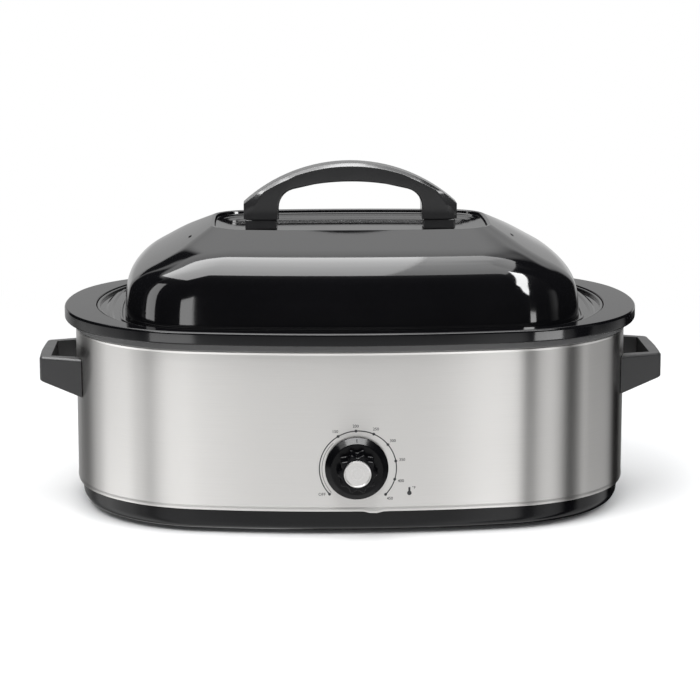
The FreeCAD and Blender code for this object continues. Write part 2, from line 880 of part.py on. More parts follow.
def make_side_handles():
    """Both side handles, drilled for their screws, and the screws through the wrap."""
    drills = handle_screw_rods("handle_drill", "-drill_reach", "handle_screw_length + drill_reach")
    for name, side, mine in (
        ("side_handle_right", 1, (drills[0], drills[3])),
        ("side_handle_left", -1, (drills[1], drills[2])),
    ):
        keep(name, cut(name, make_side_handle(name, side), list(mine)))
    screws = []
    for index, (right, rear) in enumerate(CORNERS, start=1):
        pin = screw("handle_screw_%d" % index, "handle_screw_length")
        bearing = screw_bearing(right, rear)
        screws.append(place_radially(pin, right, bearing, "-wrap_thickness - running_gap"))
    keep("handle_screws", group("handle_screws", screws))


# ---------------------------------------------------------------- knob and thermostat


def make_knob():
    """The skirted control knob with a fluted grip, its cap, and the shaft that it turns."""
    rear = "-(%s + knob_gap)" % HALF_DEPTH
    knob = turned(
        "control_knob",
        [
            ("shaft_radius", "0"),
            ("knob_skirt_radius", "0"),
            ("knob_skirt_radius", "knob_skirt_lip"),
            ("knob_face_radius", "knob_skirt_depth"),
            ("knob_grip_radius", "knob_skirt_depth"),
            ("knob_grip_radius", "knob_depth"),
            ("cap_radius + bearing_gap", "knob_depth"),
            ("cap_radius + bearing_gap", "knob_depth - cap_thickness"),
            ("0", "knob_depth - cap_thickness"),
            ("0", "knob_socket_depth"),
            ("shaft_radius", "knob_socket_depth"),
        ],
    )
    flute = sketch_on(knob, "XY_Plane", "knob_depth")
    draw_circle(flute, "knob_flute_radius", "0", "knob_grip_radius + knob_flute_radius / 2")
    groove = pocket(knob, flute, "knob_depth - knob_skirt_depth")
    pattern = knob.newObject("PartDesign::PolarPattern", "control_knob_flutes")
    pattern.Originals = [groove]
    pattern.Axis = (flute, ["N_Axis"])
    pattern.Angle = 360
    bind(pattern, "Occurrences", "knob_lobes")
    knob.Tip = pattern
    doc.recompute()
    keep("control_knob", place(knob, "0", rear, "knob_height", TO_FRONT))

    cap = turned(
        "knob_cap",
        [("0", "0"), ("cap_radius", "0"), ("cap_radius", "cap_thickness"), ("0", "cap_thickness")],
    )
    cap_rear = "-(%s + knob_gap + knob_depth - cap_thickness)" % HALF_DEPTH
    keep("knob_cap", place(cap, "0", cap_rear, "knob_height", TO_FRONT))

    length = "shaft_depth + bracket_thickness + %s + knob_gap + knob_socket_depth" % SETBACK
    shaft = turned(
        "thermostat_shaft",
        [("0", "0"), ("shaft_radius", "0"), ("shaft_radius", length), ("0", length)],
    )
    shaft_rear = "-(%s - shaft_depth)" % THERMOSTAT_FRONT
    keep("thermostat_shaft", place(shaft, "0", shaft_rear, "knob_height", TO_FRONT))


def make_thermostat():
    """The thermostat on its bracket behind the panel, bored for the shaft."""
    bracket = new_body("thermostat_bracket")
    plate = sketch_on(bracket, "XZ_Plane", BRACKET_FRONT)
    half = "bracket_width / 2"
    draw_outline(
        plate,
        [
            (half, "bracket_bottom"),
            (half, "bracket_top"),
            ("-" + half, "bracket_top"),
            ("-" + half, "bracket_bottom"),
        ],
    )
    draw_circle(plate, "shaft_radius + running_gap", "0", "knob_height")
    pad(bracket, plate, "bracket_thickness", backwards=True)
    keep("thermostat_bracket", bracket)

    case = new_body("thermostat_body")
    face = sketch_on(case, "XZ_Plane", THERMOSTAT_FRONT)
    half = "thermostat_width / 2"
    top = "knob_height + thermostat_height / 2"
    bottom = "knob_height - thermostat_height / 2"
    draw_outline(face, [(half, bottom), (half, top), ("-" + half, top), ("-" + half, bottom)])
    pad(case, face, "thermostat_depth", backwards=True)
    bore = sketch_on(case, "XZ_Plane", THERMOSTAT_FRONT)
    draw_circle(bore, "shaft_radius + bearing_gap", "0", "knob_height")
    pocket(case, bore, "shaft_depth + running_gap")
    keep("thermostat_body", case)


# ---------------------------------------------------------------- wiring and inlet


def tube(name, route, radius):
    """A lead along straight runs joined by tangent arcs; the route's places are triples of formulas."""
    points = [Vector(*[value(formula) for formula in spot]) for spot in route]
    edges = []
    begin = points[0]
    for before, corner, after in zip(points, points[1:], points[2:]):
        back = (before - corner).normalize()
        ahead = (after - corner).normalize()
        trim = min(value("lead_bend"), (before - corner).Length / 2.2, (after - corner).Length / 2.2)
        enter, leave = corner + back * trim, corner + ahead * trim
        sweep = back.getAngle(ahead)
        bend = trim * math.tan(sweep / 2)
        inward = (back + ahead).normalize()
        middle = corner + inward * (bend / math.sin(sweep / 2) - bend)
        edges.append(Part.LineSegment(begin, enter).toShape())
        edges.append(Part.Arc(enter, middle, leave).toShape())
        begin = leave
    edges.append(Part.LineSegment(begin, points[-1]).toShape())
    ahead = points[1] - points[0]
    section = Part.Wire(Part.makeCircle(value(radius), points[0], ahead))
    feature = doc.addObject("Part::Feature", name)
    feature.Shape = Part.Wire(edges).makePipeShell([section], True, False)
    keep(name, feature)


def make_wiring():
    """Terminal block, fuse, sensing bulb and the leads between them."""
    terminals = block("terminal_block", "block_width", "block_depth", "block_height")
    keep("terminal_block", place(terminals, "-block_width / 2", "block_place", TRAY_FLOOR))

    fuse_level = "well_bottom - fuse_radius - running_gap"
    fuse = rod("thermal_fuse", "fuse_radius", "fuse_length")
    keep("thermal_fuse", place(fuse, "0", "fuse_place", fuse_level, TO_REAR))

    bulb_level = "well_bottom - bulb_radius - running_gap"
    bulb = rod("sensing_bulb", "bulb_radius", "bulb_length")
    to_right = Rotation(Vector(0, 1, 0), 90)
    keep("sensing_bulb", place(bulb, "0", "-bulb_place", bulb_level, to_right))

    lead_level = TRAY_FLOOR + " + block_height / 2"
    case_rear = "-(%s - thermostat_depth)" % THERMOSTAT_FRONT
    case_low = "knob_height - thermostat_height / 4"
    rise = "-(%s + riser_gap)" % SHIELD_HALF_DEPTH
    tube(
        "supply_lead",
        [
            ("-lead_spread", "block_place", lead_level),
            ("-lead_spread", rise, lead_level),
            ("-lead_spread", rise, case_low),
            ("-lead_spread", case_rear, case_low),
        ],
        "lead_radius",
    )
    rear_tab = WELL.half_depth + " + running_gap + heater_thickness / 2"
    tab_bottom = HEATER_BOTTOM + " - heater_tab_drop"
    tube(
        "rear_heater_lead",
        [
            ("heater_tab_place", "block_place + block_depth", lead_level),
            ("heater_tab_place", rear_tab, lead_level),
            ("heater_tab_place", rear_tab, tab_bottom),
        ],
        "lead_radius",
    )
    front_tab = "-(%s)" % rear_tab
    tube(
        "front_heater_lead",
        [
            ("heater_tab_place", front_tab, "knob_height + thermostat_height / 2"),
            ("heater_tab_place", front_tab, tab_bottom),
        ],
        "lead_radius",
    )
    behind = "block_place + block_depth / 2"
    tube(
        "fuse_lead",
        [
            ("0", behind, TRAY_FLOOR + " + block_height"),
            ("0", behind, fuse_level),
            ("0", "fuse_place + fuse_length", fuse_level),
        ],
        "lead_radius",
    )
    tube(
        "capillary_tube",
        [
            ("0", "-bulb_place", bulb_level),
            ("-capillary_place", "-bulb_place", bulb_level),
            ("-capillary_place", rise, "knob_height"),
            ("-capillary_place", case_rear, "knob_height"),
        ],
        "capillary_radius",
    )


def make_inlet():
    """The cord gland through the rear of the wrap, with its nut inside; its bore is left free."""
    seat = HALF_DEPTH + " + running_gap"
    gland = turned(
        "cord_gland",
        [
            ("inlet_bore", "-inlet_inside"),
            ("inlet_radius", "-inlet_inside"),
            ("inlet_radius", "0"),
            ("inlet_flange_radius", "0"),
            ("inlet_flange_radius", "inlet_flange_thickness"),
            ("inlet_bore + inlet_neck_wall", "inlet_outside"),
            ("inlet_bore", "inlet_outside"),
        ],
    )
    keep("cord_gland", place(gland, "0", seat, "inlet_height", TO_REAR))
    nut = turned(
        "gland_nut",
        [
            ("inlet_radius", "0"),
            ("inlet_nut_radius", "0"),
            ("inlet_nut_radius", "inlet_nut_thickness"),
            ("inlet_radius", "inlet_nut_thickness"),
        ],
    )
    nut_place = HALF_DEPTH + " - wrap_thickness - running_gap - inlet_nut_thickness"
    keep("gland_nut", place(nut, "0", nut_place, "inlet_height", TO_REAR))


# ---------------------------------------------------------------- pan and rack


def make_pan():
    """The enamelled roasting pan: a deep oval tub with a wide flange and two raised beads."""
    body = new_body("roasting_pan")
    pad_plan(body, [PAN], "pan_floor", PAN_FLANGE_TOP + " - pan_floor")
    fillet(body, edges_at(body.Shape, value("pan_floor")), "pan_edge_radius")
    hollow(body, value(PAN_FLANGE_TOP), "pan_sheet")
    pad_plan(body, [RIM, PAN.grown("-pan_sheet")], PAN_SEAT, "pan_flange")
    pad_plan(body, [RIM, RIM.grown("-outer_bead_width")], PAN_SEAT, "outer_bead_height")
    bead = LID.grown("inner_bead_offset")
    pad_plan(body, [bead.grown("inner_bead_width"), bead], PAN_SEAT, "inner_bead_height")
    keep("roasting_pan", body)


def pipe(body, spine_role, spine_offset, draw_spine, profile_role, profile_offset, across, up, radius):
    """Sweep a round wire along a spine sketch in the same body."""
    spine = sketch_on(body, spine_role, spine_offset)
    draw_spine(spine)
    profile = sketch_on(body, profile_role, profile_offset)
    draw_circle(profile, radius, across, up)
    feature = body.newObject("PartDesign::AdditivePipe", body.Name + "_pipe")
    feature.Profile = profile
    feature.Spine = (spine, [])
    feature.Mode = 0
    doc.recompute()
    return feature


def make_rack():
    """The wire rack that stands in the pan: a frame, cross wires, four legs and two lifting loops."""
    body = new_body("roasting_rack")
    frame_level = "%s + seat_gap + rack_leg_height + rack_frame_radius" % PAN_FLOOR_TOP
    wide = "(%s - pan_sheet - rack_end_gap)" % PAN.half_width
    deep = "(%s - pan_sheet - rack_side_gap)" % PAN.half_depth
    bend = "rack_corner_radius"
    inner_wide = "(%s - %s)" % (wide, bend)
    inner_deep = "(%s - %s)" % (deep, bend)

    def frame(sketch):
        draw_outline(
            sketch,
            [
                (wide, "-" + inner_deep, bend),
                (wide, inner_deep),
                (inner_wide, deep, bend),
                ("-" + inner_wide, deep),
                ("-" + wide, inner_deep, bend),
                ("-" + wide, "-" + inner_deep),
                ("-" + inner_wide, "-" + deep, bend),
                (inner_wide, "-" + deep),
            ],
        )

    corner = ("YZ_Plane", inner_wide, "-" + deep, frame_level)
    pipe(body, "XY_Plane", frame_level, frame, *corner, "rack_frame_radius")

    count = int(value(wide + " - rack_corner_radius / 2") // value("rack_wire_pitch"))
    wires = sketch_on(body, "XZ_Plane")
    for number in range(-count, count + 1):
        draw_circle(wires, "rack_wire_radius", "%d * rack_wire_pitch" % number, frame_level)
    pad(body, wires, "2 * (%s - rack_wire_radius)" % deep, both_ways=True)

    legs = sketch_on(body, "XY_Plane", PAN_FLOOR_TOP + " + seat_gap")
    for right, rear in CORNERS:
        across = "%d * rack_leg_pitches * rack_wire_pitch" % right
        draw_circle(legs, "rack_frame_radius", across, "%d * (%s - rack_leg_inset)" % (rear, deep))
    pad(body, legs, "rack_leg_height + rack_frame_radius")

    for side in (1, -1):
        loop_top = "(%s + rack_loop_height)" % frame_level
        half = "rack_loop_half_width"
        turn = "rack_loop_bend"

        def loop(sketch):
            points = [
                (half, frame_level),
                (half, "%s - %s" % (loop_top, turn)),
                ("%s - %s" % (half, turn), loop_top),
                ("-(%s - %s)" % (half, turn), loop_top),
                ("-" + half, "%s - %s" % (loop_top, turn)),
                ("-" + half, frame_level),
            ]
            draw_open(sketch, points, turn)

        pipe(
            body,
            "YZ_Plane",
            "%d * %s" % (side, wide),
            loop,
            "XY_Plane",
            frame_level,
            "%d * %s" % (side, wide),
            half,
            "rack_loop_radius",
        )
    keep("roasting_rack", body)


def draw_open(sketch, points, bend):
    """Draw an upright staple: two legs and a bar with an arc at each upper corner."""
    places = [Vector(value(across), value(up), 0) for across, up in points]
    radius = value(bend)
    first = Vector(places[2].x, places[1].y, 0)
    second = Vector(places[3].x, places[4].y, 0)
    slant = radius / math.sqrt(2)
    pieces = [
        Part.LineSegment(places[0], places[1]),
        Part.Arc(places[1], first + Vector(slant, slant, 0), places[2]),
        Part.LineSegment(places[2], places[3]),
        Part.Arc(places[3], second + Vector(-slant, slant, 0), places[4]),
        Part.LineSegment(places[4], places[5]),
    ]
    edges = [sketch.addGeometry(piece) for piece in pieces]
    for edge, following in zip(edges, edges[1:]):
        sketch.addConstraint(Sketcher.Constraint("Coincident", edge, 2, following, 1))
    for number, edge in enumerate(edges):
        if number == 0:
            dimension(sketch, "DistanceX", points[0][0], edge, 1)
            dimension(sketch, "DistanceY", points[0][1], edge, 1)
        dimension(sketch, "DistanceX", points[number + 1][0], edge, 2)
        dimension(sketch, "DistanceY", points[number + 1][1], edge, 2)
    for edge in (edges[1], edges[3]):
        dimension(sketch, "Radius", bend, edge)


# ---------------------------------------------------------------- lid

# share of the way from the lid's lower edge to its crease: up, in from the ends, in from front and rear,
# corner
LID_STATIONS = [
    (0.00, 0.000, 0.000, 0.00),
    (0.26, 0.020, 0.012, 0.02),
    (0.43, 0.075, 0.022, 0.08),
    (0.57, 0.215, 0.042, 0.22),
    (0.69, 0.420, 0.121, 0.40),
    (0.80, 0.620, 0.291, 0.60),
    (0.90, 0.810, 0.630, 0.80),
    (1.00, 1.000, 1.000, 1.00),
]


def lid_sections(body, inset, foot):
    """Sketches of the lid's plan at each station, drawn in by the inset, the first lower by the foot."""
    sections = []
    for up, inwards, backwards, corner in LID_STATIONS:
        level = "%s + %.3f * (lid_height - (%s))" % (LID_SEAT, up, inset)
        if not sections:
            level += " - (%s)" % foot
        oval = Oval(
            "lid_half_width + %.3f * (crease_half_width - lid_half_width)" % inwards,
            "lid_half_depth + %.3f * (crease_half_depth - lid_half_depth)" % backwards,
            "lid_front_radius",
            "lid_end_radius",
            "lid_corner_radius + %.3f * (crease_corner_radius - lid_corner_radius)" % corner,
        )
        sketch = sketch_on(body, "XY_Plane", level)
        draw_oval(sketch, oval.grown("-(%s)" % inset))
        sections.append(sketch)
    return sections


def make_lid_shell():
    """The domed lid, lofted from its lower edge to the crease round a sunk top."""
    body = new_body("lid_shell")
    outer = lid_sections(body, "0", "0")
    dome = body.newObject("PartDesign::AdditiveLoft", "lid_shell_dome")
    dome.Profile = outer[0]
    dome.Sections = outer[1:]
    dome.Ruled = False
    doc.recompute()
    inner = lid_sections(body, "lid_sheet", "lid_sheet")
    inside = body.newObject("PartDesign::SubtractiveLoft", "lid_shell_inside")
    inside.Profile = inner[0]
    inside.Sections = inner[1:]
    inside.Ruled = False
    doc.recompute()
    wall = CREASE.grown("-recess_inset")
    opening = sketch_on(body, "XY_Plane", LID_TOP)
    draw_oval(opening, wall.grown("-lid_sheet / 2"))
    pocket(body, opening, "lid_sheet * 2")
    under = RECESS_FLOOR + " - lid_sheet"
    pad_plan(body, [wall, wall.grown("-lid_sheet")], under, "recess_depth + lid_sheet * 0.6")
    pad_plan(body, [wall.grown("-lid_sheet / 2")], under, "lid_sheet")
    holes = sketch_on(body, "XY_Plane", RECESS_FLOOR)
    for side in (1, -1):
        draw_circle(holes, "screw_hole_radius", "%d * (grip_half_width - grip_leg_width / 2)" % side)
    pocket(body, holes, "lid_sheet * 2")
    vents = sketch_on(body, "XY_Plane", LID_TOP)
    for side in (1, -1):
        near = "%d * (vent_place_x - %d * vent_width / 2)" % (side, side)
        far = "%d * (vent_place_x + %d * vent_width / 2)" % (side, side)
        low = "-vent_place_y - vent_length / 2"
        high = "-vent_place_y + vent_length / 2"
        draw_outline(vents, [(near, low), (far, low), (far, high), (near, high)])
    pocket(body, vents, "lid_height / 2")
    keep("lid_shell", body)


def edges_across(shape, reach, level):
    """Names of the edges that run front to rear at this distance either side and this height."""
    names = []
    for index, edge in enumerate(shape.Edges, start=1):
        box = edge.BoundBox
        thin = box.XMax - box.XMin < 1e-4 and box.ZMax - box.ZMin < 1e-4
        if thin and abs(abs(box.XMin) - reach) < 1e-4 and abs(box.ZMin - level) < 1e-4:
            names.append("Edge%d" % index)
    return names


def back_arcs(shape):
    """Names of the two long arcs along the grip's back, front and rear."""
    names = []
    for index, edge in enumerate(shape.Edges, start=1):
        box = edge.BoundBox
        flat = box.YMax - box.YMin < 1e-4
        whole = box.XMax - box.XMin > value("2 * grip_half_width") - 1e-3
        if flat and whole and edge.Curve.TypeId == "Part::GeomCircle":
            names.append("Edge%d" % index)
    return names


def make_lid_handle():
    """The arched grip on two spacers, with its screws and washers from inside the lid."""
    body = new_body("lid_grip")
    outline = sketch_on(body, "XZ_Plane")
    wide = "grip_half_width"
    inner = "(grip_half_width - grip_leg_width)"
    shoulder = "(%s + grip_shoulder_height)" % GRIP_BOTTOM
    inner_shoulder = "(%s + grip_inner_shoulder)" % GRIP_BOTTOM
    outer_rise = "(grip_height - grip_shoulder_height)"
    inner_rise = "(grip_height - grip_thickness - grip_inner_shoulder)"
    outer_bow = "(%s * %s + %s * %s) / (2 * %s)" % (wide, wide, outer_rise, outer_rise, outer_rise)
    inner_bow = "(%s * %s + %s * %s) / (2 * %s)" % (inner, inner, inner_rise, inner_rise, inner_rise)
    draw_outline(
        outline,
        [
            ("-" + wide, GRIP_BOTTOM),
            ("-" + inner, GRIP_BOTTOM),
            ("-" + inner, inner_shoulder),
            (inner, inner_shoulder, "-(%s)" % inner_bow),
            (inner, GRIP_BOTTOM),
            (wide, GRIP_BOTTOM),
            (wide, shoulder),
            ("-" + wide, shoulder, outer_bow),
        ],
    )
    pad(body, outline, "grip_depth", both_ways=True)
    fillet(body, edges_across(body.Shape, value(inner), value(inner_shoulder)), "grip_inner_bend")
    chamfer(body, back_arcs(body.Shape), "grip_edge")
    bores = sketch_on(body, "XY_Plane", GRIP_BOTTOM)
    for side in (1, -1):
        draw_circle(bores, "screw_hole_radius", "%d * (grip_half_width - grip_leg_width / 2)" % side)
    pocket(body, bores, "lid_screw_reach", backwards=True)
    keep("lid_handle", body)

    spacers, screws, washers = [], [], []
    length = "washer_thickness + lid_sheet + spacer_height + lid_screw_reach - screw_end_gap"
    for index, side in enumerate((1, -1), start=1):
        middle = "%d * (grip_half_width - grip_leg_width / 2)" % side
        spacer = new_body("lid_spacer_%d" % index)
        sketch = sketch_on(spacer, "XY_Plane", RECESS_FLOOR)
        half = "(grip_leg_width / 2 - spacer_shrink)"
        deep = "(grip_depth / 2 - spacer_shrink)"
        draw_outline(
            sketch,
            [
                ("%s - %s" % (middle, half), "-" + deep),
                ("%s + %s" % (middle, half), "-" + deep),
                ("%s + %s" % (middle, half), deep),
                ("%s - %s" % (middle, half), deep),
            ],
        )
        draw_circle(sketch, "screw_hole_radius", middle)
        pad(spacer, sketch, "spacer_height")
        spacers.append(spacer)
        washer = turned(
            "lid_washer_%d" % index,
            [
                ("screw_hole_radius", "0"),
                ("washer_radius", "0"),
                ("washer_radius", "washer_thickness"),
                ("screw_hole_radius", "washer_thickness"),
            ],
        )
        washers.append(place(washer, middle, "0", RECESS_FLOOR + " - lid_sheet - washer_thickness"))
        pin = screw("lid_screw_%d" % index, length)
        screws.append(place(pin, middle, "0", RECESS_FLOOR + " - lid_sheet - washer_thickness"))
    keep("lid_handle_spacers", group("lid_handle_spacers", spacers))
    keep("lid_screws", group("lid_screws", screws))
    keep("lid_washers", group("lid_washers", washers))


# ---------------------------------------------------------------- build and write


def make_all():
    """Make every sub-part in order, from the feet to the lid's handle."""
    make_base_tray()
    make_feet()
    make_posts()
    make_heat_shield()
    make_outer_wrap()
    make_top_rim()
    make_well_liner()
    make_band_heater()
    make_blanket()
    make_side_handles()
    make_thermostat()
    make_knob()
    make_wiring()
    make_inlet()
    make_pan()
    make_rack()
    make_lid_shell()
    make_lid_handle()


def centre_on_origin():
    """Move every node back so that the origin lies under the middle of the whole oven, knob included."""
    forward = "(%s + knob_gap + knob_depth)" % HALF_DEPTH
    backward = "(%s + collar_overhang)" % HALF_DEPTH
    shift = "(%s - %s) / 2" % (forward, backward)
    for thing in nodes.values():
        formulas = dict(thing.ExpressionEngine)
        present = formulas.get(".Placement.Base.y", formulas.get("Placement.Base.y"))
        if present:
            thing.setExpression("Placement.Base.y", "%s + %s" % (present, linked(shift)))
        else:
            bind(thing, "Placement.Base.y", shift)
    doc.recompute()


def check():
    """Stop if an object failed or a node's shape is missing or not valid."""
    for thing in doc.Objects:
        if "Invalid" in thing.State or "Error" in thing.State:
            raise RuntimeError("%s (%s) did not build" % (thing.Name, thing.Label))
    for name, thing in nodes.items():
        if thing.Shape.isNull() or not thing.Shape.isValid() or not thing.Shape.Solids:
            raise RuntimeError("%s has no valid solid" % name)


make_all()
centre_on_origin()
check()
os.makedirs("parts", exist_ok=True)
for name, thing in nodes.items():
    thing.Shape.exportStep("parts/%s.step" % name)
    print("%-22s solids %d volume %.1f cm3" % (name, len(thing.Shape.Solids), thing.Shape.Volume / 1000))
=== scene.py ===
"""Electric roaster oven, dressed around its fixed frame.

Metres, +Z up, the dial towards -Y.  Every shell is laid up ring by ring on an oval plan of eight tangent arcs,
each ring extruded from the one before; grips and handles are extruded section by section along their run.
"""
from __future__ import annotations

import json
import logging
import math
from dataclasses import astuple, dataclass
from enum import Enum

import bmesh
import bpy
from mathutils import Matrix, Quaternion, Vector

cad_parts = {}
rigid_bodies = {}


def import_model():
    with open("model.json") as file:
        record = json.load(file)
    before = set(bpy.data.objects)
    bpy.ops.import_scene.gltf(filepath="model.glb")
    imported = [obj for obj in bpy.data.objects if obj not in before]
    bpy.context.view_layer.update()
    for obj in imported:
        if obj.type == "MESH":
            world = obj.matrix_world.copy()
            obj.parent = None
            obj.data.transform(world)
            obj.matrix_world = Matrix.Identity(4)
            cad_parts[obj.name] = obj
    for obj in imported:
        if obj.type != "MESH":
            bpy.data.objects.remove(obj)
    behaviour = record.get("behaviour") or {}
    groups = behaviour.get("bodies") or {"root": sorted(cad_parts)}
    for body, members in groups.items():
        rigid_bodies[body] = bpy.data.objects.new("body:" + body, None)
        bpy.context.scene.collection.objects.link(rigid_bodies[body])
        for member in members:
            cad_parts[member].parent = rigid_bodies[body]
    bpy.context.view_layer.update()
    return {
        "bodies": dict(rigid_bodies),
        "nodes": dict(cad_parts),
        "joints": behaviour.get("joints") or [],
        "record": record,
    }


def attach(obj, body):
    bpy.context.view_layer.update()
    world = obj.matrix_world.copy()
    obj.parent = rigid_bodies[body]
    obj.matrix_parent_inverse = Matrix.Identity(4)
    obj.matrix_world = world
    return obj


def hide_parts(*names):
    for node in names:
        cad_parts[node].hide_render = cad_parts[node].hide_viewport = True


log = logging.getLogger("roaster")

MM = 0.001
AXIS_Y = 7.2 * MM
UP = Vector((0, 0, 1))
WHITE = (1, 1, 1, 1)
Ring = list[Vector]
Triple = tuple[float, float, float]
Piece = bpy.types.Object
Material = bpy.types.Material
Socket = bpy.types.NodeSocket


def in_frame(x: float, y: float, z: float) -> Vector:
    """A place given in millimetres about the oven's axis, in metres in its frame."""
    return Vector((x, y, z)) * MM + Vector((0, AXIS_Y, 0))


@dataclass(frozen=True)
class Oval:
    """An oval of eight tangent arcs, centred on the oven's own axis, sizes in millimetres."""

    half_width: float
    half_depth: float
    front_radius: float
    end_radius: float
    corner_radius: float

    def grown(self, by: float) -> Oval:
        """The parallel oval that lies so many millimetres outside this one."""
        return Oval(*(size + by for size in astuple(self)))

    def towards(self, other: Oval, across: float, deep: float, corner: float) -> Oval:
        """An oval part of the way to another one.

        Args:
            other: the oval at the far end of the way.
            across: share of the way for the ends.
            deep: share of the way for front and rear.
            corner: share of the way for the corners.

        Returns:
            The oval in between.
        """
        shares = (across, deep, across, across, corner)
        sizes = zip(astuple(self), astuple(other), shares)
        return Oval(*(near + share * (far - near) for near, far, share in sizes))

    def arcs(self) -> list[tuple[float, float, float, float, float, int]]:
        """Centre, radius, angles and number of steps of each arc, anticlockwise from the right-hand end."""
        end_x = self.half_width - self.end_radius
        front_y = self.half_depth - self.front_radius
        apart = math.hypot(end_x, front_y)
        to_end = self.end_radius - self.corner_radius
        to_front = self.front_radius - self.corner_radius
        along = (to_end**2 - to_front**2 + apart**2) / (2 * apart)
        aside = math.sqrt(to_end**2 - along**2)
        ux, uy = -end_x / apart, front_y / apart
        x, y = end_x + along * ux - aside * uy, along * uy + aside * ux
        if x < 0 or y < 0:
            x, y = end_x + along * ux + aside * uy, along * uy - aside * ux
        low, high = math.atan2(y, x - end_x), math.atan2(y - front_y, x)
        half = math.pi
        end, corner, front = self.end_radius, self.corner_radius, self.front_radius
        return [
            (end_x, 0.0, end, -low, low, END_STEPS),
            (x, y, corner, low, high, CORNER_STEPS),
            (0.0, front_y, front, high, half - high, FRONT_STEPS),
            (-x, y, corner, half - high, half - low, CORNER_STEPS),
            (-end_x, 0.0, end, half - low, half + low, END_STEPS),
            (-x, -y, corner, half + low, half + high, CORNER_STEPS),
            (0.0, -front_y, front, half + high, 2 * half - high, FRONT_STEPS),
            (x, -y, corner, 2 * half - high, 2 * half - low, CORNER_STEPS),
        ]

    def at(self, level: float) -> Ring:
        """The oval's points at a height.

        Args:
            level: the height in millimetres.

        Returns:
            The points in metres, in the oven's frame.
        """
        ring = []
        for x, y, radius, begin, end, steps in self.arcs():
            for step in range(steps):
                angle = begin + (end - begin) * step / steps
                ring.append(in_frame(x + radius * math.cos(angle), y + radius * math.sin(angle), level))
        return ring


END_STEPS, CORNER_STEPS, FRONT_STEPS = 22, 26, 48

BODY = Oval(266.5, 175.0, 830.0, 222.0, 139.0)
RIM = Oval(246.0, 171.0, 825.5, 230.0, 86.0)
LID = Oval(218.0, 160.0, 900.0, 900.0, 77.0)
CREASE = Oval(134.0, 77.5, 900.0, 900.0, 36.0)
PAN = LID.grown(-7.0)
WELL = LID.grown(-1.0)

WRAP_BOTTOM = 24.0
COLLAR_TOP = 192.0
COLLAR_BOTTOM = 180.0
FLANGE_BOTTOM = 187.3
FLANGE_TOP = 188.5
LID_SEAT = 188.8
LID_TOP = 271.3
RECESS_FLOOR = 263.0
GRIP_BOTTOM = 273.0
KNOB_HEIGHT = 65.0


def front_surface(x: float, off: float) -> float:
    """The Y of the wrap's front at a place across it and a distance outside the steel, in millimetres."""
    radius = BODY.front_radius + off
    return -(BODY.half_depth - BODY.front_radius) - math.sqrt(radius**2 - x**2) + AXIS_Y / MM


def clear_selection() -> None:
    """Leave edit mode and deselect everything."""
    if bpy.context.object and bpy.context.object.mode != "OBJECT":
        bpy.ops.object.mode_set(mode="OBJECT")
    bpy.ops.object.select_all(action="DESELECT")


def pick(piece: Piece) -> None:
    """Make one piece the only one selected, and the active one."""
    clear_selection()
    piece.select_set(True)
    bpy.context.view_layer.objects.active = piece


def named(name: str) -> Piece:
    """Name the piece just added, and its mesh.

    Args:
        name: the name.

    Returns:
        The piece.
    """
    piece = bpy.context.object
    piece.name = piece.data.name = name
    return piece


def joined(pieces: list[Piece], name: str) -> Piece:
    """Join some pieces into the first of them.

    Args:
        pieces: the pieces.
        name: the name of the whole.

    Returns:
        The whole.
    """
    pick(pieces[0])
    for piece in pieces[1:]:
        piece.select_set(True)
    bpy.ops.object.join()
    return named(name)


def edit_mesh(piece: Piece) -> bmesh.types.BMesh:
    """The mesh of the piece that is in edit mode."""
    return bmesh.from_edit_mesh(piece.data)


def settle(piece: Piece) -> None:
    """Move the piece's place, turn and size into its mesh."""
    pick(piece)
    bpy.ops.object.transform_apply(location=True, rotation=True, scale=True)


def apply_modifier(piece: Piece, kind: str, **settings: object) -> None:
    """Add a modifier, set it up and apply it.

    Args:
        piece: the piece that it works on.
        kind: Blender's name of the modifier.
        settings: its properties.
    """
    pick(piece)
    modifier = piece.modifiers.new(kind.lower(), kind)
    for key, setting in settings.items():
        setattr(modifier, key, setting)
    bpy.ops.object.modifier_apply(modifier=modifier.name)


def bevel(piece: Piece, width: float, segments: int, limit: float = 30.0) -> None:
    """Round the piece's sharp edges: width in millimetres, limit in degrees."""
    angle = math.radians(limit)
    apply_modifier(piece, "BEVEL", width=width * MM, segments=segments, limit_method="ANGLE", angle_limit=angle)


def turn_outwards(piece: Piece) -> None:
    """Merge the piece's doubles and point its faces outwards.

    Args:
        piece: the piece.
    """
    pick(piece)
    bpy.ops.object.mode_set(mode="EDIT")
    bpy.ops.mesh.select_all(action="SELECT")
    bpy.ops.mesh.remove_doubles(threshold=1e-6)
    bpy.ops.mesh.normals_make_consistent(inside=False)
    bpy.ops.object.mode_set(mode="OBJECT")


def dress(piece: Piece, finish: Material) -> None:
    """Give the piece one material."""
    piece.data.materials.clear()
    piece.data.materials.append(finish)


def report(piece: Piece, finish: Material, body: str, slot: str, *nodes: str) -> None:
    """Dress a modelled piece, join it to the frame and say so.

    Args:
        piece: the piece.
        finish: its material.
        body: the body that it moves with.
        slot: not used.
        nodes: the nodes that it stands for.
    """
    dress(piece, finish)
    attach(piece, body)
    if nodes:
        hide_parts(*nodes)
    log.info("%s: %d faces, on %s", piece.name, len(piece.data.polygons), body)


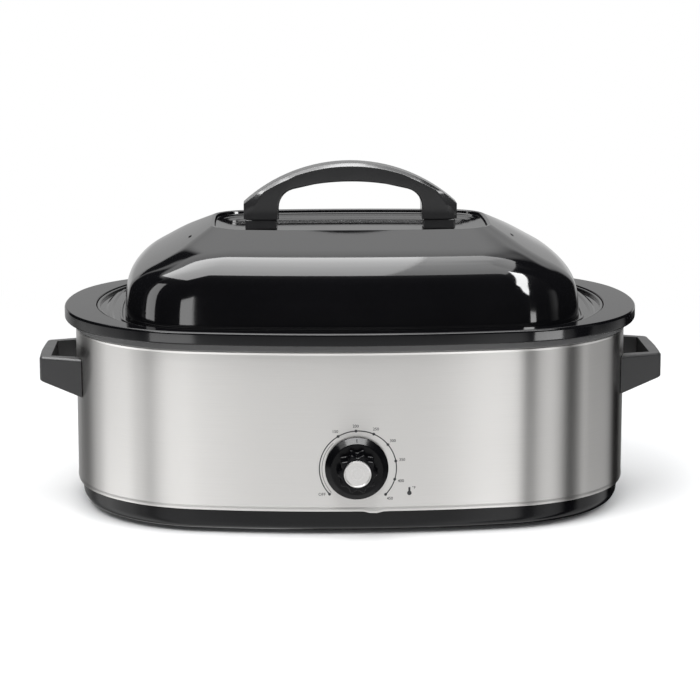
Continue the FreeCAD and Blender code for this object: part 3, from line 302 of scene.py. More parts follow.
def complete(piece: Piece, finish: Material, body: str, slot: str, *nodes: str, limit: float = 40.0) -> None:
    """Shade a piece smooth, with normals that keep its broad faces flat, and report it.

    Args:
        piece: the piece.
        finish: its material.
        body: the body that it moves with.
        slot: passed on to report, which does not use it.
        nodes: the nodes that it stands for.
        limit: edges sharper than this, in degrees, stay sharp.
    """
    pick(piece)
    bpy.ops.object.shade_smooth_by_angle(angle=math.radians(limit))
    apply_modifier(piece, "WEIGHTED_NORMAL", mode="FACE_AREA", weight=60, keep_sharp=True)
    report(piece, finish, body, slot, *nodes)


def soften(before: Vector, corner: Vector, after: Vector, radius: float, parts: int) -> list[Vector]:
    """Round a corner of a run of points with an arc.

    Args:
        before: the point before the corner.
        corner: the corner.
        after: the point after it.
        radius: radius of the arc, in the points' own unit.
        parts: how many pieces the arc has.

    Returns:
        The arc's points, from its start to its end.
    """
    back, ahead = before - corner, after - corner
    reach = 0.48 * min(back.length, ahead.length)
    back.normalize()
    ahead.normalize()
    half = back.angle(ahead) / 2
    trim = min(radius / math.tan(half), reach)
    centre = corner + (back + ahead).normalized() * (trim / math.cos(half))
    start, end = corner + back * trim - centre, corner + ahead * trim - centre
    sweep = start.angle(end)
    arc = []
    for part in range(parts + 1):
        share = part / parts
        spoke = start * math.sin((1 - share) * sweep) + end * math.sin(share * sweep)
        arc.append(centre + spoke / math.sin(sweep))
    return arc


@dataclass(frozen=True)
class Level:
    """One corner ring of a shell's section, rounded over a radius in millimetres."""

    ring: Ring
    radius: float = 0.0
    parts: int = 4


def rounded(levels: list[Level], closed: bool = False) -> list[Ring]:
    """Replace each corner ring that has a radius by the rings of its arc.

    Args:
        levels: the corner rings in order.
        closed: whether the last ring is followed by the first.

    Returns:
        All rings of the section.
    """
    rings: list[Ring] = []
    last = len(levels) - 1
    for number, level in enumerate(levels):
        if level.radius == 0.0 or (number in (0, last) and not closed):
            rings.append(level.ring)
            continue
        around = zip(levels[number - 1].ring, level.ring, levels[(number + 1) % len(levels)].ring)
        arcs = [soften(*points, level.radius * MM, level.parts) for points in around]
        rings += [[arc[part] for arc in arcs] for part in range(level.parts + 1)]
    return rings


def section(*rows: tuple, closed: bool = False) -> list[Ring]:
    """The rings of a shell on ovals.

    Args:
        rows: for each corner ring its oval, its height and, where it is rounded, the radius and the parts.
        closed: whether the last ring is followed by the first.

    Returns:
        All rings of the section.
    """
    return rounded([Level(oval.at(height), *bend) for oval, height, *bend in rows], closed)


class Close(Enum):
    """How a run of rings ends."""

    LOOP = "loop"
    CAPS = "caps"
    LAST = "last"


def lay_up(name: str, rings: list[Ring], close: Close, tile: bool = False) -> Piece:
    """Model a shell or a bar from a circle by extruding it ring by ring.

    Args:
        name: the piece's name.
        rings: the rings, each with as many points.
        close: how the run ends.
        tile: whether the piece gets a UV map, metres along and metres up.

    Returns:
        The piece.
    """
    clear_selection()
    bpy.ops.mesh.primitive_circle_add(vertices=len(rings[0]), radius=0.1)
    piece = named(name)
    bpy.ops.object.mode_set(mode="EDIT")
    bpy.ops.mesh.select_mode(type="VERT")
    bpy.ops.mesh.select_all(action="SELECT")
    mesh = edit_mesh(piece)
    mesh.verts.layers.int.new("step")
    mesh.verts.layers.int.new("ring")
    mesh = edit_mesh(piece)
    step = mesh.verts.layers.int["step"]
    mesh.verts.ensure_lookup_table()
    for index, vertex in enumerate(mesh.verts):
        vertex[step] = index
        vertex.co = rings[0][index]
    for number, ring in enumerate(rings[1:], start=1):
        bpy.ops.mesh.extrude_region_move()
        mesh = edit_mesh(piece)
        step, order = mesh.verts.layers.int["step"], mesh.verts.layers.int["ring"]
        for vertex in mesh.verts:
            if vertex.select:
                vertex.co = ring[vertex[step]]
                vertex[order] = number
    last = len(rings) - 1
    if close is Close.LOOP:
        select_rings(piece, {0, last})
        bpy.ops.mesh.bridge_edge_loops()
    else:
        for end in (last, 0) if close is Close.CAPS else (last,):
            select_rings(piece, {end})
            bpy.ops.mesh.edge_face_add()
    bmesh.update_edit_mesh(piece.data)
    if tile:
        tile_shell(piece, rings)
    bpy.ops.mesh.select_all(action="SELECT")
    bpy.ops.mesh.normals_make_consistent(inside=False)
    bpy.ops.object.mode_set(mode="OBJECT")
    return piece


def select_rings(piece: Piece, numbers: set[int]) -> None:
    """Select the edges that run along some of a shell's rings.

    Args:
        piece: the shell, in edit mode.
        numbers: the rings' numbers.
    """
    bpy.ops.mesh.select_mode(type="EDGE")
    bpy.ops.mesh.select_all(action="DESELECT")
    mesh = edit_mesh(piece)
    order = mesh.verts.layers.int["ring"]
    for edge in mesh.edges:
        first, second = edge.verts
        if first[order] == second[order] and first[order] in numbers:
            edge.select_set(True)
    mesh.select_flush_mode()
    bmesh.update_edit_mesh(piece.data)


def tile_shell(piece: Piece, rings: list[Ring]) -> None:
    """Unroll a shell's rings into a UV map: the run along a ring, and the run up the section.

    Args:
        piece: the shell, in edit mode.
        rings: its rings.
    """
    count = len(rings[0])
    along, upward = [0.0], [0.0]
    for step in range(count):
        along.append(along[-1] + (rings[0][(step + 1) % count] - rings[0][step]).length)
    for before, ring in zip(rings, rings[1:]):
        upward.append(upward[-1] + (ring[0] - before[0]).length)
    mesh = edit_mesh(piece)
    step, order = mesh.verts.layers.int["step"], mesh.verts.layers.int["ring"]
    tiles = mesh.loops.layers.uv.verify()
    for face in mesh.faces:
        steps = [loop.vert[step] for loop in face.loops]
        seam = max(steps) - min(steps) > count / 2
        for loop, place in zip(face.loops, steps):
            loop[tiles].uv = (along[place + count if seam and place == 0 else place], upward[loop.vert[order]])
    bmesh.update_edit_mesh(piece.data)


class NodeBench:
    """A node tree and the nodes that are set up in it."""

    def __init__(self, tree: bpy.types.NodeTree) -> None:
        """Start on a tree."""
        self.tree = tree

    def feed(self, target: Socket, source: object) -> None:
        """Link a socket into an input, or set the input to a plain value.

        Args:
            target: the input.
            source: the socket or the value.
        """
        if isinstance(source, Socket):
            self.tree.links.new(source, target)
        else:
            target.default_value = source

    def node(self, kind: str, sockets: dict | None = None, **settings: object) -> bpy.types.Node:
        """Add a node.

        Args:
            kind: its type, without the leading ShaderNode.
            sockets: what goes into its inputs, by their names or numbers.
            settings: its own properties.

        Returns:
            The node.
        """
        node = self.tree.nodes.new("ShaderNode" + kind)
        for key, setting in settings.items():
            setattr(node, key, setting)
        for key, source in (sockets or {}).items():
            self.feed(node.inputs[key], source)
        return node

    def math(self, operation: str, first: Socket, second: Socket | float = 0.0) -> Socket:
        """A sum of a socket and a number or another socket, by Blender's name of the sum."""
        return self.node("Math", {0: first, 1: second}, operation=operation).outputs["Value"]

    def span(self, level: Socket, begin: float, end: float, low: float, high: float, **settings: object) -> Socket:
        """Map a range of levels onto another.

        Args:
            level: the level.
            begin: the range's start.
            end: its end.
            low: what its start becomes.
            high: what its end becomes.
            settings: the node's own properties.

        Returns:
            The mapped level.
        """
        limits = {"Value": level, "From Min": begin, "From Max": end, "To Min": low, "To Max": high}
        return self.node("MapRange", limits, **settings).outputs["Result"]

    def step(self, level: Socket, begin: float, end: float) -> Socket:
        """A smooth step from 0 to 1.

        Args:
            level: the level that it follows.
            begin: where it leaves 0.
            end: where it reaches 1.

        Returns:
            The step.
        """
        low, high = (0.0, 1.0) if begin < end else (1.0, 0.0)
        return self.span(level, min(begin, end), max(begin, end), low, high, interpolation_type="SMOOTHSTEP")

    def mix_shaders(self, share: Socket, first: Socket, second: Socket) -> Socket:
        """Mix two shaders by a share of the second."""
        return self.node("MixShader", {"Fac": share, 1: first, 2: second}).outputs["Shader"]


class Graph(NodeBench):
    """A material's node tree, with its shader and output ready."""

    def __init__(self, name: str) -> None:
        """Start a material.

        Args:
            name: the material's name.
        """
        self.material = bpy.data.materials.new(name)
        self.material.use_nodes = True
        super().__init__(self.material.node_tree)
        self.shader = self.tree.nodes["Principled BSDF"]

    def set(self, **levels: object) -> None:
        """Feed the shader's own sockets; an underscore stands for a space in a socket's name."""
        for key, level in levels.items():
            self.feed(self.shader.inputs[key.replace("_", " ")], level)

    def place(self, scale: Triple, centre: Triple = (0, 0, 0)) -> Socket:
        """Object coordinates, scaled about a centre.

        Args:
            scale: the scale along each axis.
            centre: the point that maps to the origin, in metres.

        Returns:
            The vector.
        """
        sizes = [1 / size for size in scale]
        here = {"Vector": self.node("TexCoord").outputs["Object"], "Location": centre, "Scale": sizes}
        return self.node("Mapping", here, vector_type="TEXTURE").outputs["Vector"]

    def noise(self, vector: Socket, detail: float, rough: float = 0.55) -> Socket:
        """A noise texture."""
        grain = {"Vector": vector, "Scale": 1.0, "Detail": detail, "Roughness": rough}
        return self.node("TexNoise", grain).outputs["Fac"]

    def cloud(self, scale: float, detail: float) -> Socket:
        """Noise that is alike along every axis, at a scale a metre."""
        return self.noise(self.place((scale, scale, scale)), detail)

    def roughen(self, factor: Socket, roughness: float, low: float, high: float) -> None:
        """Vary the roughness with a factor.

        Args:
            factor: the factor.
            roughness: the roughness.
            low: what it is multiplied by where the factor is low.
            high: what it is multiplied by where the factor is high.
        """
        self.set(Roughness=self.span(factor, 0.3, 0.7, roughness * low, roughness * high))

    def tint(self, factor: Socket, colour: Triple, dark: float, light: float) -> None:
        """Vary the base colour with a factor.

        Args:
            factor: the factor.
            colour: the colour.
            dark: what it is multiplied by where the factor is 0.
            light: what it is multiplied by where the factor is 1.
        """
        ends = [(*(min(1.0, part * by) for part in colour), 1) for by in (dark, light)]
        mix = self.node("Mix", {"Factor": factor, "A": ends[0], "B": ends[1]}, data_type="RGBA")
        self.set(Base_Color=mix.outputs["Result"])

    def bump(self, height: Socket, distance: float, strength: float) -> None:
        """Raise the surface by a height of 0 to 1, where 1 is a distance in metres."""
        bump = self.node("Bump", {"Height": height, "Distance": distance, "Strength": strength})
        self.set(Normal=bump.outputs["Normal"])


@dataclass(frozen=True)
class Finish:
    """What every finish has: a name, a colour and a roughness."""

    name: str
    colour: Triple
    roughness: float

    def build(self) -> Material:
        """Make the material."""
        graph = Graph(self.name)
        self.lay(graph)
        return graph.material

    def lay(self, graph: Graph) -> None:
        """Lay the finish's own nodes.

        Args:
            graph: the material's node tree.
        """
        raise NotImplementedError


@dataclass(frozen=True)
class Enamel(Finish):
    """Fired gloss enamel, with a faint orange peel and a little dust."""

    gloss: float = 0.5

    def lay(self, graph: Graph) -> None:
        """Lay the finish's own nodes.

        Args:
            graph: the material's node tree.
        """
        graph.set(IOR=1.5, Specular_IOR_Level=self.gloss)
        dust = graph.cloud(9, 3.0)
        graph.tint(dust, self.colour, 1.0, 1.6)
        graph.roughen(dust, self.roughness, 0.8, 1.3)
        graph.bump(graph.cloud(260, 2.0), 0.00001, 0.5)


@dataclass(frozen=True)
class BrushedSteel(Finish):
    """Stainless sheet brushed along its length."""

    def lay(self, graph: Graph) -> None:
        """Lay the finish's own nodes.

        Args:
            graph: the material's node tree.
        """
        tangent = graph.node("Tangent", direction_type="UV_MAP").outputs["Tangent"]
        graph.set(Metallic=1.0, Anisotropic=0.95, Anisotropic_Rotation=0.25, Tangent=tangent)
        stretch = graph.node("Mapping", {"Vector": graph.node("UVMap").outputs["UV"], "Scale": (14, 3800, 1)})
        hairs = graph.noise(stretch.outputs["Vector"], 5.0, 0.7)
        graph.tint(hairs, self.colour, 0.9, 1.08)
        graph.roughen(graph.cloud(7, 2.0), self.roughness, 0.95, 1.06)
        graph.bump(hairs, 0.00001, 0.35)


@dataclass(frozen=True)
class MouldedPlastic(Finish):
    """Moulded plastic with a fine spark-eroded grain."""

    grain: float = 0.00004
    gloss: float = 0.5

    def lay(self, graph: Graph) -> None:
        """Lay the finish's own nodes.

        Args:
            graph: the material's node tree.
        """
        graph.set(IOR=1.5, Specular_IOR_Level=self.gloss)
        wear = graph.cloud(30, 4.0)
        graph.tint(wear, self.colour, 1.0, 1.5)
        graph.roughen(wear, self.roughness, 0.85, 1.15)
        graph.bump(graph.cloud(1500, 3.0), self.grain, 0.5)


@dataclass(frozen=True)
class SpunMetal(Finish):
    """A disc of metal spun about an axis along Y."""

    centre: Triple = (0, 0, 0)

    def lay(self, graph: Graph) -> None:
        """Lay the finish's own nodes.

        Args:
            graph: the material's node tree.
        """
        graph.set(Metallic=1.0)
        length = graph.node("VectorMath", {0: graph.place((1, 0.001, 1), self.centre)}, operation="LENGTH")
        turning = {"W": length.outputs["Value"], "Scale": 2600, "Detail": 3}
        rings = graph.node("TexNoise", turning, noise_dimensions="1D").outputs["Fac"]
        graph.tint(rings, self.colour, 0.88, 1.05)
        graph.roughen(rings, self.roughness, 0.8, 1.2)
        graph.bump(rings, 0.00002, 0.4)


@dataclass(frozen=True)
class PlainMetal(Finish):
    """Sheet or turned metal as it comes, with faint stains and drawing marks."""

    def lay(self, graph: Graph) -> None:
        """Lay the finish's own nodes.

        Args:
            graph: the material's node tree.
        """
        graph.set(Metallic=1.0)
        stain = graph.cloud(60, 5.0)
        graph.tint(stain, self.colour, 0.82, 1.08)
        graph.roughen(stain, self.roughness, 1.2, 0.8)
        graph.bump(graph.noise(graph.place((200, 200, 1800)), 3.0), 0.00001, 0.4)


@dataclass(frozen=True)
class Fibre(Finish):
    """Woven glass or braided sleeve, with its pitch in metres."""

    pitch: float = 0.001

    def lay(self, graph: Graph) -> None:
        """Lay the finish's own nodes.

        Args:
            graph: the material's node tree.
        """
        graph.set(Roughness=self.roughness, Sheen_Weight=0.3)
        threads = {"Vector": graph.place((1 / self.pitch,) * 3), "Scale": 1.0, "Distortion": 2.0}
        weave = graph.node("TexWave", threads, wave_type="BANDS", bands_direction="DIAGONAL").outputs["Fac"]
        graph.tint(weave, self.colour, 0.7, 1.0)
        graph.bump(weave, self.pitch * 0.3, 0.8)


@dataclass(frozen=True)
class Ink(Finish):
    """Printed ink, a little uneven."""

    def lay(self, graph: Graph) -> None:
        """Lay the finish's own nodes.

        Args:
            graph: the material's node tree.
        """
        graph.set(Roughness=self.roughness)
        graph.tint(graph.cloud(500, 3.0), self.colour, 1.0, 1.6)


class Finishes:
    """Every finish on the oven, made once."""

    def __init__(self) -> None:
        """Make the materials."""
        black = (0.0025, 0.0025, 0.003)
        knob_centre = (0.0, AXIS_Y - (BODY.half_depth + 25) * MM, KNOB_HEIGHT * MM)
        self.enamel = Enamel("gloss_enamel", black, 0.07).build()
        self.collar = Enamel("collar_enamel", black, 0.09, 0.2).build()
        self.steel = BrushedSteel("brushed_wrap", (0.7, 0.69, 0.675), 0.3).build()
        self.plastic = MouldedPlastic("satin_plastic", (0.018, 0.018, 0.0185), 0.13).build()
        self.handle = MouldedPlastic("handle_plastic", (0.018, 0.018, 0.0185), 0.34).build()
        # the skirt's plastic is lighter than the other black plastics: painted light, a grey that stands in for the
        # light falling on the skirt under the flange
        self.skirt = MouldedPlastic("skirt_plastic", (0.07, 0.07, 0.07), 0.38).build()
        self.knob = MouldedPlastic("knob_plastic", (0.002, 0.002, 0.0025), 0.18, gloss=0.12).build()
        self.cap = SpunMetal("spun_cap", (0.68, 0.67, 0.66), 0.32, knob_centre).build()
        self.ink = Ink("dial_ink", (0.02, 0.02, 0.022), 0.5).build()
        self.rubber = MouldedPlastic("foot_rubber", (0.02, 0.02, 0.02), 0.7, 0.0001).build()
        self.zinc = PlainMetal("zinc_plate", (0.62, 0.62, 0.63), 0.35).build()
        self.bright = PlainMetal("bright_wire", (0.72, 0.72, 0.73), 0.14).build()
        self.sheet = PlainMetal("galvanised_sheet", (0.55, 0.56, 0.57), 0.42).build()
        self.sheath = PlainMetal("heater_sheath", (0.36, 0.33, 0.3), 0.5).build()
        self.copper = PlainMetal("drawn_copper", (0.72, 0.42, 0.29), 0.3).build()
        self.aluminium = PlainMetal("aluminium_case", (0.72, 0.72, 0.73), 0.4).build()
        self.ceramic = Enamel("glazed_ceramic", (0.7, 0.67, 0.6), 0.25).build()
        self.blanket = Fibre("glass_blanket", (0.8, 0.78, 0.7), 0.85, 0.003).build()
        self.sleeve = Fibre("braided_sleeve", (0.75, 0.73, 0.66), 0.85, 0.0012).build()


@dataclass
class Base:
    """The steel wrap, its collar and skirt, the tray below and the well inside."""

    finishes: Finishes
    sheet: float = 0.6
    hem: float = 0.5
    hem_height: float = 2.0
    bead: float = 0.45
    bead_height: float = 3.2
    tab_place: float = 16.0
    tab_half: float = 11.0
    tab_drop: float = 2.0
    tray_inset: float = 4.5
    tray_bottom: float = 4.0
    tray_top: float = 26.0
    tray_radius: float = 9.0
    tray_press: float = 1.5
    tray_floor: float = 6.0
    overhang: float = 10.6
    edge_radius: float = 2.5
    ledge: float = 187.0
    lip: float = 2.0
    skirt_gap: float = 0.3
    skirt_wall: float = 1.7
    skirt_bottom: float = 173.3
    well_bottom: float = 75.0
    well_radius: float = 25.0
    well_sheet: float = 0.8

    def build(self) -> None:
        """Model and dress every piece of the base."""
        for make in (self.wrap, self.collar, self.skirt, self.tray, self.well):
            make()

    def tabbed(self, ring: Ring) -> Ring:
        """Let a ring of the wrap down at the front in a small tab.

        Args:
            ring: the ring.

        Returns:
            The same ring, lowered.
        """
        for place in ring:
            across = (place.x / MM - self.tab_place) / self.tab_half
            if place.y < 0 and abs(across) < 1:
                place.z -= self.tab_drop * MM * (0.5 + 0.5 * math.cos(math.pi * across))
        return ring

    def wrap(self) -> None:
        """The brushed stainless wrap, hemmed along its bottom and beaded under the skirt."""
        inside, swell = BODY.grown(-self.sheet), BODY.grown(self.hem * 0.5)
        levels = [
            Level(self.tabbed(inside.at(WRAP_BOTTOM))),
            Level(self.tabbed(swell.at(WRAP_BOTTOM)), self.hem),
            Level(self.tabbed(swell.at(WRAP_BOTTOM + self.hem_height)), self.hem),
            Level(BODY.at(WRAP_BOTTOM + 2 * self.hem_height), 1.5),
            Level(BODY.at(self.skirt_bottom - self.bead_height), 1.5),
            Level(BODY.grown(self.bead).at(self.skirt_bottom - self.bead_height * 0.4), 0.5),
            Level(BODY.at(self.skirt_bottom), 0.3),
            Level(BODY.at(COLLAR_BOTTOM)),
            Level(inside.at(COLLAR_BOTTOM)),
        ]
        piece = lay_up("steel_wrap", rounded(levels), Close.LOOP, tile=True)
        complete(piece, self.finishes.steel, "base", "brushed_stainless", "outer_wrap", limit=60)

    def collar(self) -> None:
        """The black collar: an overhanging flange with a ledge for the pan."""
        inside, recess, outside = LID.grown(self.lip), RIM.grown(0.5), BODY.grown(self.overhang)
        rings = section(
            (inside, COLLAR_BOTTOM, 0.6),
            (inside, self.ledge, 0.8),
            (recess, self.ledge, 0.8),
            (recess, COLLAR_TOP, 1.2),
            (outside, COLLAR_TOP, self.edge_radius, 6),
            (outside, COLLAR_BOTTOM, 1.6),
            closed=True,
        )
        piece = lay_up("collar", rings, Close.LOOP)
        complete(piece, self.finishes.collar, "base", "black_enamel", "top_rim")

    def skirt(self) -> None:
        """The short skirt that hangs from the collar round the head of the steel."""
        near, far = BODY.grown(self.skirt_gap), BODY.grown(self.skirt_gap + self.skirt_wall)
        rings = section(
            (near, COLLAR_BOTTOM),
            (near, self.skirt_bottom, 0.3),
            (far, self.skirt_bottom, 0.7),
            (far, COLLAR_BOTTOM),
        )
        piece = lay_up("collar_skirt", rings, Close.LOOP)
        # its lighter grey plastic is painted light on the skirt
        complete(piece, self.finishes.skirt, "base", "black_plastic")

    def tray(self) -> None:
        """The gloss tray under the steel, round-bottomed, with its floor pressed up in the middle."""
        side = BODY.grown(-self.tray_inset)
        wall, bottom, pressed = side.grown(-2), self.tray_bottom, self.tray_bottom + self.tray_press
        rings = section(
            (wall, self.tray_top),
            (side, self.tray_top, 0.8),
            (side, bottom, self.tray_radius, 10),
            (side.grown(-30), bottom, 2.0),
            (side.grown(-34), pressed, 2.0),
            (side.grown(-90), pressed),
            (side.grown(-90), pressed + 1.0),
        )
        shell = lay_up("base_pan", rings, Close.LAST)
        inner = section(
            (wall, self.tray_top),
            (wall, self.tray_floor + 9.0),
            (side.grown(-4), self.tray_floor + 3.0),
            (side.grown(-11), self.tray_floor),
        )
        piece = joined([shell, lay_up("lining", inner, Close.LAST)], "base_pan")
        turn_outwards(piece)
        complete(piece, self.finishes.collar, "base", "black_enamel", "base_tray")

    def well(self) -> None:
        """The deep-drawn well that the pan hangs in."""
        inside, flange = WELL.grown(-self.well_sheet), BODY.grown(-1.0)
        floor, top = self.well_bottom + self.well_sheet, COLLAR_BOTTOM - 0.1
        rings = section(
            (inside.grown(-60), floor),
            (inside, floor, self.well_radius - self.well_sheet, 8),
            (inside, top, 2.0),
            (flange, top),
            (flange, top - self.well_sheet),
            (WELL, top - self.well_sheet, 1.5),
            (WELL, self.well_bottom, self.well_radius, 8),
            (WELL.grown(-60), self.well_bottom),
        )
        piece = lay_up("well", rings, Close.CAPS)
        complete(piece, self.finishes.enamel, "base", "black_enamel", "well_liner")


@dataclass
class Pan:
    """The roasting pan: a deep tub with a stepped, beaded rim."""

    finishes: Finishes
    bottom: float = 83.0
    sheet: float = 1.0
    edge_radius: float = 22.0
    outer_bead: float = 3.4
    outer_height: float = 191.2
    inner_near: float = 2.0
    inner_far: float = 4.6
    inner_height: float = 190.1
    ridge_height: float = 0.9

    def build(self) -> None:
        """Model and dress the pan."""
        bead, near, far = LID.grown(self.inner_near), LID.grown(self.inner_far), RIM.grown(-self.outer_bead)
        steps = [near.towards(far, share, share, share) for share in (0.3, 0.42, 0.58, 0.7)]
        inside, floor, ridge = PAN.grown(-self.sheet), self.bottom + self.sheet, FLANGE_TOP + self.ridge_height
        rings = section(
            (inside.grown(-60), floor),
            (inside.grown(-34), floor, 2.0),
            (inside.grown(-30), floor + 1.0, 2.0),
            (inside.grown(-26), floor, 2.0),
            (inside, floor, self.edge_radius - self.sheet, 9),
            (inside, FLANGE_TOP, 3.0, 6),
            (bead, FLANGE_TOP, 0.5),
            (bead, self.inner_height, 1.1),
            (near, self.inner_height, 1.1),
            (near, FLANGE_TOP, 0.5),
            (steps[0], FLANGE_TOP, 0.6),
            (steps[1], ridge, 0.8),
            (steps[2], ridge, 0.8),
            (steps[3], FLANGE_TOP, 0.6),
            (far, FLANGE_TOP, 0.5),
            (far, self.outer_height, 1.4),
            (RIM, self.outer_height, 1.4),
            (RIM, FLANGE_BOTTOM, 0.4),
            (PAN, FLANGE_BOTTOM, 1.5),
            (PAN, self.bottom, self.edge_radius, 9),
            (PAN.grown(-60), self.bottom),
        )
        piece = lay_up("pan_shell", rings, Close.CAPS)
        complete(piece, self.finishes.enamel, "pan", "black_enamel", "roasting_pan")


@dataclass
class Rack:
    """The wire rack: a frame, cross wires, four legs and two lifting loops."""

    finishes: Finishes
    half_width: float = 188.0
    half_depth: float = 132.0
    corner: float = 62.0
    level: float = 96.9
    frame_wire: float = 2.6
    cross_wire: float = 1.6
    loop_wire: float = 2.1
    pitch: float = 24.0
    crosses: int = 6
    leg_pitches: int = 4
    leg_place: float = 118.0
    leg_foot: float = 84.3
    loop_half: float = 46.0
    loop_top: float = 154.9
    loop_bend: float = 14.0
    bend_parts: int = 6
    corner_parts: int = 12
    sides: int = 12

    def wire(self, route: list[Vector], radius: float, closed: bool = False) -> Piece:
        """A round wire along a run of points.

        Args:
            route: the points, in millimetres about the oven's axis.
            radius: the wire's radius in millimetres.
            closed: whether it runs round to its start.

        Returns:
            The wire as a mesh.
        """
        turns = [2 * math.pi * corner / self.sides for corner in range(self.sides)]
        last = len(route) - 1
        sections = []
        for index, point in enumerate(route):
            before = route[index - 1] if index or closed else point
            after = route[(index + 1) % len(route)] if index < last or closed else point
            way = (after - before).normalized()
            side = way.cross(UP)
            side = side.normalized() if side.length > 0.1 else Vector((1, 0, 0))
            rise = side.cross(way).normalized()
            spokes = [side * math.cos(turn) + rise * math.sin(turn) for turn in turns]
            sections.append([in_frame(*(point + spoke * radius)) for spoke in spokes])
        piece = lay_up("wire", sections, Close.LOOP if closed else Close.CAPS)
        turn_outwards(piece)
        return piece

    def corner_arc(self, x: float, y: float, quarter: int) -> list[Vector]:
        """One of the four quarter circles of the frame.

        Args:
            x: its centre across.
            y: its centre front to rear.
            quarter: its number, anticlockwise from the right rear.

        Returns:
            Its points.
        """
        turns = [(quarter + part / self.corner_parts) * math.pi / 2 for part in range(self.corner_parts + 1)]
        reach = self.corner
        return [Vector((x + reach * math.cos(turn), y + reach * math.sin(turn), self.level)) for turn in turns]

    def loop(self, side: int) -> list[Vector]:
        """The run of one lifting loop, from one foot over to the other.

        Args:
            side: 1 for the right-hand loop, -1 for the left-hand one.

        Returns:
            Its points.
        """
        half, top = self.loop_half, self.loop_top
        corners = ((-half, self.level), (-half, top), (half, top), (half, self.level))
        points = [Vector((side * self.half_width, *corner)) for corner in corners]
        bends = [soften(*points[start : start + 3], self.loop_bend, self.bend_parts) for start in (0, 1)]
        return [points[0], *bends[0], *bends[1], points[3]]

    def build(self) -> None:
        """Model and dress the rack."""
        wide, deep = self.half_width - self.corner, self.half_depth - self.corner
        centres = ((wide, deep), (-wide, deep), (-wide, -deep), (wide, -deep))
        frame = [point for number, centre in enumerate(centres) for point in self.corner_arc(*centre, number)]
        wires = [self.wire(frame, self.frame_wire, closed=True)]
        for number in range(-self.crosses, self.crosses + 1):
            x = number * self.pitch
            reach = self.half_depth
            if abs(x) > wide:
                reach = deep + math.sqrt(self.corner**2 - (abs(x) - wide) ** 2)
            wires.append(self.wire([Vector((x, y, self.level)) for y in (-reach, reach)], self.cross_wire))
        for x in (-1, 1):
            for y in (-1, 1):
                place = (x * self.leg_pitches * self.pitch, y * self.leg_place)
                leg = [Vector((*place, height)) for height in (self.leg_foot, self.level)]
                wires.append(self.wire(leg, self.frame_wire))
        wires += [self.wire(self.loop(side), self.loop_wire) for side in (-1, 1)]
        rack = joined(wires, "wire_rack")
        complete(rack, self.finishes.bright, "rack", "chromed_wire", "roasting_rack", limit=50)


# the lid's outlines from its lower edge to its crease, each figure a share of the way: up, across, deep, corner
STATIONS = (
    (0.00, 0.000, 0.000, 0.00),
    (0.26, 0.020, 0.012, 0.02),
    (0.43, 0.075, 0.022, 0.08),
    (0.57, 0.215, 0.042, 0.22),
    (0.69, 0.420, 0.121, 0.40),
    (0.80, 0.620, 0.291, 0.60),
    (0.90, 0.810, 0.630, 0.80),
    (1.00, 1.000, 1.000, 1.00),
)


def slopes(number: int) -> list[float]:
    """How fast the lid's outline changes at one of its stations."""
    before, after = STATIONS[max(number - 1, 0)], STATIONS[min(number + 1, len(STATIONS) - 1)]
    return [(last - first) / (after[0] - before[0]) for first, last in zip(before[1:], after[1:])]


def between_stations(up: float) -> list[float]:
    """The lid's outline at a share of its height, on a smooth curve through the stations.

    Args:
        up: share of the height.

    Returns:
        Shares of the way across, front to rear and at the corners.
    """
    after = max(1, next(number for number, station in enumerate(STATIONS) if station[0] >= up))
    low, high = STATIONS[after - 1], STATIONS[after]
    span = high[0] - low[0]
    share = (up - low[0]) / span
    outline = []
    for start, end, lead, trail in zip(low[1:], high[1:], slopes(after - 1), slopes(after)):
        near = (2 * share**3 - 3 * share**2 + 1) * start + (share**3 - 2 * share**2 + share) * lead * span
        far = (3 * share**2 - 2 * share**3) * end + (share**3 - share**2) * trail * span
        outline.append(near + far)
    return outline


